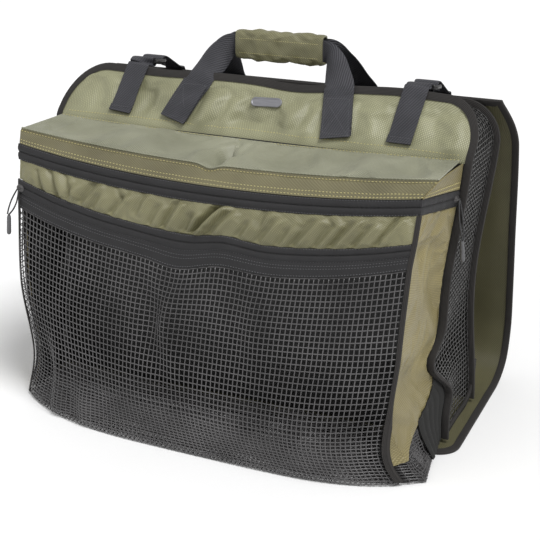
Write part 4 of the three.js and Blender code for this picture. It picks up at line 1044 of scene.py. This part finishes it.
# %% The slumped foot
TAPE_START, RIBS = 1.45, 5
share = np.linspace(0, 1, 40)[:, None]
a = np.linspace(TAPE_START, 2, 60)[None, :] + 0 * share
d = mix(slanted(a, SLUMPED_FOOT) - 0.1, FOOT_ROW - 0.04, share)
rib = 1.3 * np.abs(np.sin((a - TAPE_START) / (2 - TAPE_START) * np.pi * RIBS))
make_piece("right_foot_tape", [cloth_body(raised(a, d, rib + 0.6), 1.4)], FOOT_TAPE)

a, d = patch(np.linspace(0, 1, 19), np.linspace(FOOT_ROW - 0.75, FOOT_ROW - 0.01, 13))
a = mix(corner_at(d) + 0.01, 1.5, a)
crumple = 5 * ripples(a * 160, d * 60, 30, 53) * np.sin(np.pi * np.clip((d - FOOT_ROW + 0.75) / 0.76, 0, 1))
crumpled, behind = raised(a, d, -(2 + np.abs(crumple))), raised(a, d, 0.6 * crumple - 9) + [1.5, 0, 2]
layers = [*strand_bodies(crumpled, skin_out(a, d), 1.5), *strand_bodies(behind, skin_out(a, d), 3.2)]
make_piece("right_foot_net", layers, NET_PAINTED_HIGHLIGHTS, sharp=3.2)


# %% [markdown]
# ## Webbing
# Handles and side straps are flat webbing that is sewn down, runs over a bound edge and then turns
# freely. A route gives the middle of the webbing and the way its flat side faces; a curl bends the
# webbing's section into an arc where a hand has squeezed it.

# %% Webbing
def ribbon(route, widths, curls=((0, 0), (1, 0)), count=150, thick=1.8):
    """Stations along a smooth route. Section: an arc of the given width and angle, with two faces.
    Widths and curls are tables of (share of the length, value)."""
    path = smooth_path(route, count)
    middle, facing = path[:, :3], path[:, 3:6]
    along = unit(np.gradient(middle, axis=0))
    facing = unit(facing - along * np.einsum("ij,ij->i", facing, along)[:, None])
    side = np.cross(facing, along)
    run = np.linspace(0, 1, count)
    width = np.interp(run, *np.asarray(widths, float).T)[:, None]
    curl = np.maximum(np.interp(run, *np.asarray(curls, float).T), 1e-3)[:, None]
    u = np.linspace(-0.5, 0.5, 13)[None, :]
    sine, cosine = np.sin(curl * u), np.cos(curl * u)
    edge = 1 - (2 * np.abs(u)) ** 12 * 0.5
    rings = []
    for half in (thick / 2 * edge, -thick / 2 * edge):
        a, b = sine / curl * width + sine * half, (cosine - 1) / curl * width + cosine * half
        rings.append(middle[:, None] + a[..., None] * side[:, None] + b[..., None] * facing[:, None])
    points = np.concatenate([rings[0], rings[1][:, ::-1]], axis=1)
    uv = np.stack(np.meshgrid(np.concatenate([u[0], u[0, ::-1]]) * width.max(), lengths(middle)), -1)
    return points.reshape(-1, 3), closed_quads(count, points.shape[1]), uv.reshape(-1, 2)


def place_on(surface, x, run):
    """One place of a surface and its unit normal."""
    place, normal = surface_frame(surface, np.array([float(x)]), np.array([float(run)]))
    return place[0], normal[0]


def flat_on(surface, x, run, lift=3.9):
    """One place of a route: lifted off the surface along its normal, and facing that way."""
    place, normal = place_on(surface, x, run)
    return np.concatenate([place + normal * lift, normal])


def over_bound_edge(surface, x, top, sign, lift=3.9):
    """Three places: up to the tape, on its shoulder and just past its top."""
    place, normal = place_on(surface, x, top)
    up = unit(surface(np.array([float(x)]), np.array([top + sign * 0.01]))[0] - place)
    turned = lambda rise, high, share: np.concatenate([place + up * rise + normal * high, unit(mix(normal, up, share))])
    return [turned(-2, lift * 1.1, 0), turned(5, lift * 0.85, 0.45), turned(7.2, -lift * 0.3, 0.8)]


WRAP_LENGTH, WRAP_HEIGHT, WRAP_DEPTH, WRAP_PLACE = 118, 38, 20, np.array([1, 90, 440.8])
HANDLE_SPREAD, HANDLE_DRIFT, STRAP_SPREAD = 109, 17, 187


def handle_route(surface, runs, top, sign, face):
    """One leg from its sewn foot over the edge to the grip, through it, and down the other leg."""
    beside = face * (WRAP_DEPTH / 2 - 3.45)
    in_grip = lambda away, turn=0.0: np.concatenate([WRAP_PLACE + [away, beside, 0], unit(np.array([turn, face, 0.0]))])

    def leg(side):
        sewn = [flat_on(surface, side * (HANDLE_SPREAD - HANDLE_DRIFT * k / len(runs)), run) for k, run in enumerate(runs)]
        edge = flat_on(surface, side * (HANDLE_SPREAD - HANDLE_DRIFT), top - sign * 2, 5.5)
        end = in_grip(side * (WRAP_LENGTH / 2 + 5), -side * 0.5)
        free = [mix(edge, end, share) + [side * rise * 0.3, 0, rise, 0, 0, 0] for share, rise in ((0.3, 1.5), (0.7, 2.5))]
        return [*sewn, edge, *free, end, *(in_grip(side * (WRAP_LENGTH / 2 - inside)) for inside in (6, 24))]

    return [*leg(-1), in_grip(0), *leg(1)[::-1]]


def handle_body(surface, runs, top, sign, face):
    """Webbing on a handle's route: narrower inside the grip, and curled where it comes out."""
    route = handle_route(surface, runs, top, sign, face)
    away = np.abs(smooth_path(route, 220)[:, 0] - WRAP_PLACE[0]) - WRAP_LENGTH / 2
    share = np.linspace(0, 1, 220)
    widths = np.stack([share, mix(27.0, 38.0, smoothstep(away, 2, 22))], -1)
    curls = np.stack([share, 1.3 * smoothstep(away, 3, 12) * (1 - smoothstep(away, 22, 40))], -1)
    return ribbon(route, widths, curls, 220)


yoke_runs = np.linspace(SHELF + 6, PANEL_HEIGHT - 12, 5)
front_handle = handle_body(main_surface, yoke_runs, PANEL_HEIGHT, 1, -1)
rear_handle = handle_body(mat_surface, np.linspace(60, 12, 6), 0, -1, 1)


def sewn_patch(surface, x, drift, low, high, width, lift):
    """A second layer of webbing over a sewn foot, from low to high, drifting with the leg."""
    route = [flat_on(surface, mix(x, x - drift, s), mix(low, high, s), lift) for s in np.linspace(0, 1, 8)]
    return ribbon(route, [(0, width), (1, width)], count=24)


def patches(surface, low, high, drift):
    """The patches on both feet of a handle."""
    return [sewn_patch(surface, side * HANDLE_SPREAD, side * drift, low, high, 37, 5.6) for side in (-1, 1)]


front_patches, rear_patches = patches(main_surface, SHELF + 4, SHELF + 46, 13), patches(mat_surface, 61, 28, 11)
make_piece("front_handle_webbing", [front_handle, *front_patches], WEBBING, ["front_handle"])
make_piece("rear_handle_webbing", [rear_handle, *rear_patches], WEBBING, ["rear_handle"])

# %% [markdown]
# ## Side straps and buckles
# On each side a strap rises over the yoke and another over the mat's edge, and both hook round the bars
# of a ladder-lock buckle. The buckle is a rounded ring with a cross bar and a lifted lip.

# %% Side straps and buckles
BUCKLE_WIDTH, BUCKLE_LENGTH, BUCKLE_BAR, HOOK, TILT = 40, 30, 4, 5, -0.1


def buckle_places(sign, local):
    """From the buckle's own frame, tilted about x, to the bag."""
    x, y, z = np.asarray(local, float).T
    y, z = y * np.cos(TILT) - z * np.sin(TILT), y * np.sin(TILT) + z * np.cos(TILT)
    middle = [sign * STRAP_SPREAD + YOKE_SHIFT, mix(YOKE_LEAN, REAR_DEPTH, 0.322), mix(PANEL_HEIGHT, BACK_HEIGHT, 0.322) + 10.4]
    return np.stack([x, y, z], -1) + middle


def strap_body(surface, x, runs, top, run_sign, sign, bar_sign):
    """Flat on the cloth, over the bound edge, and round one bar of the buckle."""
    bar = (BUCKLE_LENGTH - BUCKLE_BAR) / 2
    hooks = [(np.pi / 2, HOOK), *((angle, 0) for angle in np.linspace(np.pi / 2, -np.pi / 2, 7)), (-np.pi / 2, 3)]
    origin = buckle_places(sign, [[0, 0, 0]])[0]
    hooked = []
    for angle, past in hooks:
        place = buckle_places(sign, [[0, bar_sign * (bar + past - HOOK * np.cos(angle)), HOOK * np.sin(angle)]])[0]
        face = buckle_places(sign, [[0, -bar_sign * np.cos(angle), np.sin(angle)]])[0] - origin
        hooked.append(np.concatenate([place, face]))
    sewn = [flat_on(surface, x, run) for run in runs]
    return ribbon([*sewn, *over_bound_edge(surface, x, top, run_sign), *hooked], [(0, 30), (1, 30)], count=130)


def buckle_bodies(sign):
    """A section carried round a superellipse, a cross bar, and a lip over one long side."""
    outline = round_outline(BUCKLE_WIDTH - BUCKLE_BAR, BUCKLE_LENGTH - BUCKLE_BAR, 64, 5.0)
    ahead = np.roll(outline, -1, 0) - np.roll(outline, 1, 0)
    out = unit(np.stack([ahead[:, 1], -ahead[:, 0]], -1))
    a, b = round_outline(BUCKLE_BAR, 5, 8, 3.5).T
    rings = np.concatenate([outline[:, None] + a[None, :, None] * out[:, None], np.zeros((64, 8, 1)) + b[None, :, None]], -1)
    bodies = [ring_body(buckle_places(sign, rings.reshape(-1, 3)).reshape(64, 8, 3), True)]
    x = np.linspace(-BUCKLE_WIDTH / 2 + 3, BUCKLE_WIDTH / 2 - 3, 12)
    for y, wide, high, lift in ((0, BUCKLE_BAR, 4.6, 0), (-BUCKLE_LENGTH / 2 + 2.4, 4.6, 2.4, 2.6)):
        c, e = round_outline(wide, high, 8, 3.0).T
        rings = np.stack(np.broadcast_arrays(x[:, None], y + c[None, :], lift + e[None, :]), -1)
        bodies.append(ring_body(buckle_places(sign, rings.reshape(-1, 3)).reshape(12, 8, 3)))
    return bodies


for side, sign in SIDES:
    front = strap_body(main_surface, sign * STRAP_SPREAD, yoke_runs, PANEL_HEIGHT, 1, sign, -1)
    rear = strap_body(mat_surface, sign * STRAP_SPREAD + YOKE_SHIFT, np.linspace(150, 12, 6), 0, -1, sign, 1)
    hem = sewn_patch(main_surface, sign * STRAP_SPREAD, 0, SHELF + 5.4, SHELF + 13, 30.4, 5.4)
    make_piece(f"{side}_front_webbing", [front, hem], WEBBING, [f"{side}_front_strap"])
    make_piece(f"{side}_rear_webbing", [rear], WEBBING, [f"{side}_rear_strap"])
    make_piece(f"{side}_ladder_buckle", buckle_bodies(sign), PLASTIC, [f"{side}_buckle"])

# %% [markdown]
# ## The padded grip
# A wrap of padded cloth closes round both handles. It is a sleeve: outline points run along its outside
# and back along its inside, and are carried all the way round. Padding swells it between its seams.

# %% Padded grip
GRIP_SEAM = 9  # the two seams along the grip lie this far above and below its middle


def wrap_rings(count=56, along=44):
    """Round the superellipse section; outside swells with sin along the length, inside stays plain."""
    turn = np.arange(count) * 2 * np.pi / count
    c, s = np.cos(turn), np.sin(turn)
    shape = lambda wide, high: np.stack([np.sign(c) * np.abs(c) ** 0.55 * wide / 2, np.sign(s) * np.abs(s) ** 0.55 * high / 2], -1)
    share = np.linspace(0, 1, along)
    swell = 1 - 0.07 * (2 * share - 1) ** 8 - 0.02 * np.abs(np.sin(share * np.pi * 5)) ** 6
    x = (share - 0.5) * WRAP_LENGTH
    puffs = 1 + 0.35 / 14 * ripples(x[None, :], turn[:, None] * 14, 22, 61)
    outside = shape(WRAP_DEPTH + 0.8, WRAP_HEIGHT + 0.6)[:, None] * (swell * puffs)[..., None]
    inside = shape(WRAP_DEPTH - 4.6, WRAP_HEIGHT - 4.6)[:, None] + np.zeros((1, along, 1))
    sections = np.concatenate([outside, inside[:, ::-1]], 1)
    places = np.concatenate([np.broadcast_to([*x, *x[::-1]], (count, 2 * along))[..., None], sections], -1)
    return places + WRAP_PLACE


rings = wrap_rings()
outside_free = (np.arange(rings.shape[1]) > 0) & (np.arange(rings.shape[1]) < 43)
quilted = np.abs(np.abs(rings[..., 2] - WRAP_PLACE[2]) - GRIP_SEAM) < 1.2
rings = wrinkle(rings, ~outside_free | quilted, 0.03, 2.2, pressure=2.0, ring=True)
wrap = make_piece("padded_grip", [ring_body(rings, True)], OLIVE, ["handle_wrap"])


# %% [markdown]
# ## Stitching
# A stitch is a short thread that dips into the cloth at both ends. It is a spindle with six sides, and a
# row repeats it at an even pitch along a line on the cloth.

# %% Stitching
def stitches(lines, pitch=4.2, length=2.7, radius=0.5):
    """Spindles along each line of (places, outward normals). Ends have a seventh of the radius."""
    ends = np.linspace(-0.5, 0.5, 5)
    girth = np.array([0.15, 0.8, 1, 0.8, 0.15]) * radius
    a, b = round_outline(2, 2, 6).T
    bodies = []
    for places, normals in lines:
        run = lengths(places)
        at = np.arange(pitch / 2, run[-1], pitch)
        middle, ahead, out = (np.stack([np.interp(where, run, p) for p in values.T], -1)
                              for where, values in ((at, places), (at + 0.5, places), (at, normals)))
        out = unit(out)
        along = unit(ahead - middle + 1e-6)
        side = np.cross(along, out)
        spine = middle[:, None] + along[:, None] * (ends * length)[None, :, None]
        spine = spine - out[:, None] * (4 * ends**2 * radius * 0.9)[None, :, None]
        ring = (a[:, None] * side[:, None, None] + b[:, None] * out[:, None, None]) * girth[None, :, None, None]
        bodies.append(many_bodies(spine[:, :, None] + ring))
    return bodies


def on_skin(acrosses, down, lift, shape=skin):
    """A line along one row of the skin, or of a piece's own shape, lifted outward; and its normals."""
    a = np.asarray(acrosses, float)
    d = np.full_like(a, down)
    out = skin_out(a, d)
    return shape(a, d) + out * lift, out


def on_panel(x, run, lift):
    """A line on the main panel, lifted along its normal; and its normals."""
    x, run = np.broadcast_arrays(np.asarray(x, float), np.asarray(run, float))
    place, normal = surface_frame(main_surface, x, run)
    return place + normal * lift, normal


front = np.linspace(-EDGE, EDGE, 160)
sides = [np.linspace(1.03, 2, 30), np.linspace(-1.03, -2, 30)]
seam_lines = [
    on_panel(np.linspace(-262, 262, 160), SHELF + 3.2, 1.3),
    on_skin(front, 0.05, 1.0, shelf_grid), on_skin(front, 1.12, 1.7, shelf_grid),
    on_skin(front, 1.72, 1.0, shelf_grid), on_skin(front, 1.9, 1.0, shelf_grid),
    *(on_skin(s, 1.74, 0.6) for s in sides), *(on_skin(s, 1.9, 0.9) for s in sides),
]
make_piece("olive_stitching", stitches(seam_lines), THREAD, sharp=3.2)
band_lines = [on_skin(front, BAND_TOP + s, 0.85, net_zip_grid) for s in (0.03, 0.47, 0.6, 0.7, 0.94)]
band_lines += [on_skin(front, ZIP_TOP + s, 0.85, pocket_zip_grid) for s in (0.06, 0.94)]
for surface, top, side in ((main_surface, PANEL_HEIGHT, -1), (back_surface, BACK_HEIGHT, 1)):
    place, normal = (v[:, 0] for v in inset_frame(surface, upright_outline(top), 6.6))
    band_lines.append((place + side * normal * (TAPE_OUTER + 0.15), side * normal))
make_piece("grey_stitching", stitches(band_lines, 3.4, 2.3, 0.3), DARK_THREAD, sharp=3.2)

round_corners = np.concatenate([np.linspace(-1.9, -1.03, 20), front, np.linspace(1.03, 1.95, 20)])
coil_lines = [on_skin(round_corners, ZIP_TOP + 0.5, 1.0, pocket_zip_grid), on_skin(front, BAND_TOP + 0.24, 1.0, net_zip_grid)]
make_piece("zip_coils", stitches(coil_lines, 1.9, 1.5, 0.62), PLASTIC, sharp=3.2)


# %% [markdown]
# Handles are sewn down with a box of four lines and its two diagonals, straps and the grip with plain
# lines.

# %% Webbing stitches
def box_lines(x, low, high, half, drift):
    """Four sides and two diagonals of a sewn box on the yoke, over the webbing."""
    corner = lambda s, t: np.array([mix(x, x - np.sign(x) * drift, t) + s * half, mix(low, high, t)])
    pairs = [((-1, 0), (1, 0)), ((-1, 1), (1, 1)), ((-1, 0), (-1, 1)), ((1, 0), (1, 1)), ((-1, 0), (1, 1)), ((1, 0), (-1, 1))]
    return [on_panel(*np.linspace(corner(*first), corner(*last), 24).T, 6.7) for first, last in pairs]


webbing_lines = [line for _, sign in SIDES for line in box_lines(sign * (HANDLE_SPREAD - 1), SHELF + 7, SHELF + 43, 16, 12)]
webbing_lines += [on_panel(sign * STRAP_SPREAD + np.linspace(-13, 13, 20), SHELF + 11, 6.5) for _, sign in SIDES]
make_piece("webbing_stitching", stitches(webbing_lines, 2.6, 1.9, 0.24), DARK_THREAD, sharp=3.2)

grip_lines = []
x = np.linspace(-WRAP_LENGTH / 2 + 5, WRAP_LENGTH / 2 - 5, 60)
for z in (GRIP_SEAM, -GRIP_SEAM):
    places = WRAP_PLACE + joined(x, -WRAP_DEPTH / 2 - 0.45, z)
    grip_lines.append((places, 0 * places + [0, -1, 0]))
make_piece("grip_stitching", stitches(grip_lines, 3.0, 2.1, 0.3), THREAD, sharp=3.2)

# %% [markdown]
# ## Badge, sliders, pull cords and grips
# The badge is a blank plate with a raised rim: its face is a height over two shares. The sliders have a
# crowned body and a bridge for the cord. Each pull is a loop of thin cord, a free cord with its real
# length, which goes from a rubber grip through the bridge and back.

# %% Badge
def plate_body(middle, first, second, out, length, width, top):
    """Rows along first, columns along second, on an outline with round ends; top gives the height."""
    s = np.sin(np.linspace(-np.pi / 2, np.pi / 2, 60))[:, None] * length / 2
    end = np.clip(np.abs(s) - (length - width) / 2, 0, width / 2 - 1e-3)
    half = np.sqrt((width / 2) ** 2 - end**2)
    t = np.sin(np.linspace(-np.pi / 2, np.pi / 2, 26))[None, :] * half
    core = np.clip(np.abs(s), 0, (length - width) / 2) * np.sign(s)
    depth = width / 2 - np.hypot(s - core, t)
    place = lambda height: middle + s[..., None] * first + t[..., None] * second + height[..., None] * out
    rings = np.concatenate([place(top(depth)), place(0 * depth)[:, ::-1]], 1)
    return ring_body(rings)


BADGE_LENGTH, BADGE_WIDTH = 40, 12.4
_, normal = place_on(main_surface, 5, 385)
middle = from_frame(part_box("badge")).mean(0)
across = unit(np.array([1.0, normal[0] * -normal[1], 0.05]))
across = unit(across - normal * (across @ normal))
rim = lambda depth: 0.5 + 0.9 * smoothstep(depth, 0, 0.6) - 0.7 * smoothstep(depth, 1.5, 2.1)
plate = plate_body(middle - normal * 1.1, across, np.cross(normal, across), normal, BADGE_LENGTH, BADGE_WIDTH, rim)
make_piece("blank_plate", [plate], PLATE, ["badge"])


# %% Sliders and pull cords
def slider_bodies(across, down):
    """A crowned body over the zip and a bridge that arches over it."""
    a, d = np.array([across]), np.array([down])
    out = skin_out(a, d)[0]
    along = unit(skin(a + 0.01, d) - skin(a - 0.01, d))[0]
    side = np.cross(out, along)
    middle = skin(a, d)[0] + out * 1.3
    crown = lambda depth: 1.0 + 1.9 * smoothstep(depth, 0, 2.6)
    arc = np.linspace(0, np.pi, 12)[:, None]
    spine = middle + np.cos(arc) * along * 4.4 + (2.0 + np.sin(arc) * 2.1) * out
    bridge = tube_body(spine, np.cos(arc) * along + np.sin(arc) * out, 0 * spine + side, round_outline(1.1, 2.6))
    return [plate_body(middle, along, side, out, 11.6, 8.6, crown), bridge]


def grip_body(side):
    """A ribbed, slightly leaning peg in the frame's box of the grip: its girth over the share of height
    swells below, has nine ribs and is rounded at both ends."""
    foot, top = from_frame(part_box(f"{side}_pull_grip"))
    share = np.linspace(0, 1, 30)[:, None]
    girth = 2.5 * (1 + 0.12 * (1 - share) - 0.07 * np.sin(share * np.pi * 9) ** 2)
    girth = girth * (1 - 0.35 * (2 * np.abs(share - 0.5)) ** 10)
    lean = (share - 0.5) * (top[0] - foot[0] - 5.4) * (1 if side == "left" else -1)
    x, y = round_outline(2, 2, 16, 2.3).T
    middle = (top + foot) / 2
    return ring_body(joined(middle[0] + lean + x * girth, middle[1] + y * girth, mix(foot[2], top[2], share)))


PULLS = {  # the slider's across and down, and the loop's places in the frame, in metres
    "left": ((-0.985, 4.3), [
        (-0.27831, -0.13414, 0.24777), (-0.27673, -0.13195, 0.25627), (-0.27245, -0.1298, 0.26768), (-0.26318, -0.12839, 0.28148),
        (-0.26454, -0.13155, 0.26566), (-0.26978, -0.13348, 0.2545), (-0.27604, -0.13464, 0.24719)]),
    "right": ((1.93, 2.5), [
        (0.27791, -0.03729, 0.26246), (0.27524, -0.03857, 0.27409), (0.27243, -0.03771, 0.28953), (0.27013, -0.03212, 0.30828),
        (0.2739, -0.02958, 0.2883), (0.27653, -0.03144, 0.273), (0.27834, -0.03496, 0.2621)]),
}
for side, (place, route) in PULLS.items():
    make_piece(f"{side}_zip_slider", slider_bodies(*place), SLIDER_METAL, [f"{side}_slider"])
    path = smooth_path(from_frame(route), 60)
    along = unit(np.gradient(path, axis=0))
    first = unit(np.cross(along, [0.3, 1, 0.1]))
    loop = tube_body(path, first, np.cross(along, first), round_outline(2, 2, 8))
    cord = make_piece(f"{side}_cord_loop", [loop], CORD_BRAID, [f"{side}_pull_cord"], sharp=3.2)
    grip = make_piece(f"{side}_rubber_grip", [grip_body(side)], RUBBER, [f"{side}_pull_grip"])

# %% [markdown]
# ## Floor, world and lights
# A pale floor and a bright, even world give the light of a white studio; the camera sees the world
# white, and as a light it is about half as bright. One soft sun from above and the right shapes the
# folds and lights the side, and a weaker one from the left opens the front.

# %% Floor and lights
floor_mesh = bpy.data.meshes.new("floor")
floor_mesh.from_pydata([(-6, -6, 0), (6, -6, 0), (6, 6, 0), (-6, 6, 0)], [], [(0, 1, 2, 3)])
floor = bpy.data.objects.new("floor", floor_mesh)
bpy.context.scene.collection.objects.link(floor)
floor_finish, tree, shader = finish_tree("pale_floor", 0.6)
tree.links.new(blend_colours(tree, clouds(tree, 3), (0.86, 0.86, 0.86), (0.9, 0.9, 0.9)), shader.inputs["Base Color"])
floor_mesh.materials.append(floor_finish)
floor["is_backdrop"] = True

world = bpy.data.worlds.new("studio")
world.use_nodes = True
tree = world.node_tree
background = tree.nodes["Background"]
background.inputs[0].default_value = (1, 1, 1, 1)
seen = add(tree, "ShaderNodeLightPath").outputs["Is Camera Ray"]
tree.links.new(math(tree, "MULTIPLY_ADD", seen, 0.48, 0.52), background.inputs[1])
bpy.context.scene.world = world


def soft_lamp(name, place, target, angle, power):
    """A sun with a wide disc: the same soft light everywhere, from one side."""
    lamp = bpy.data.objects.new(name, bpy.data.lights.new(name, "SUN"))
    lamp.data.angle, lamp.data.energy = angle, power
    lamp.rotation_euler = (Vector(target) - Vector(place)).to_track_quat("-Z", "Y").to_euler()
    bpy.context.scene.collection.objects.link(lamp)


soft_lamp("key_lamp", (0.75, -0.35, 1.6), (0, 0, 0.2), 0.45, 2.6)
soft_lamp("side_lamp", (-1.2, -0.9, 1.0), (0, 0, 0.2), 0.9, 0.5)

# %% Sizes and the end
visual_box = [list(corner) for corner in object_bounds()]
print("grown by, mm:", [[round(1000 * (b - a), 1) for a, b in zip(*pair)] for pair in zip(cad_box, visual_box)])
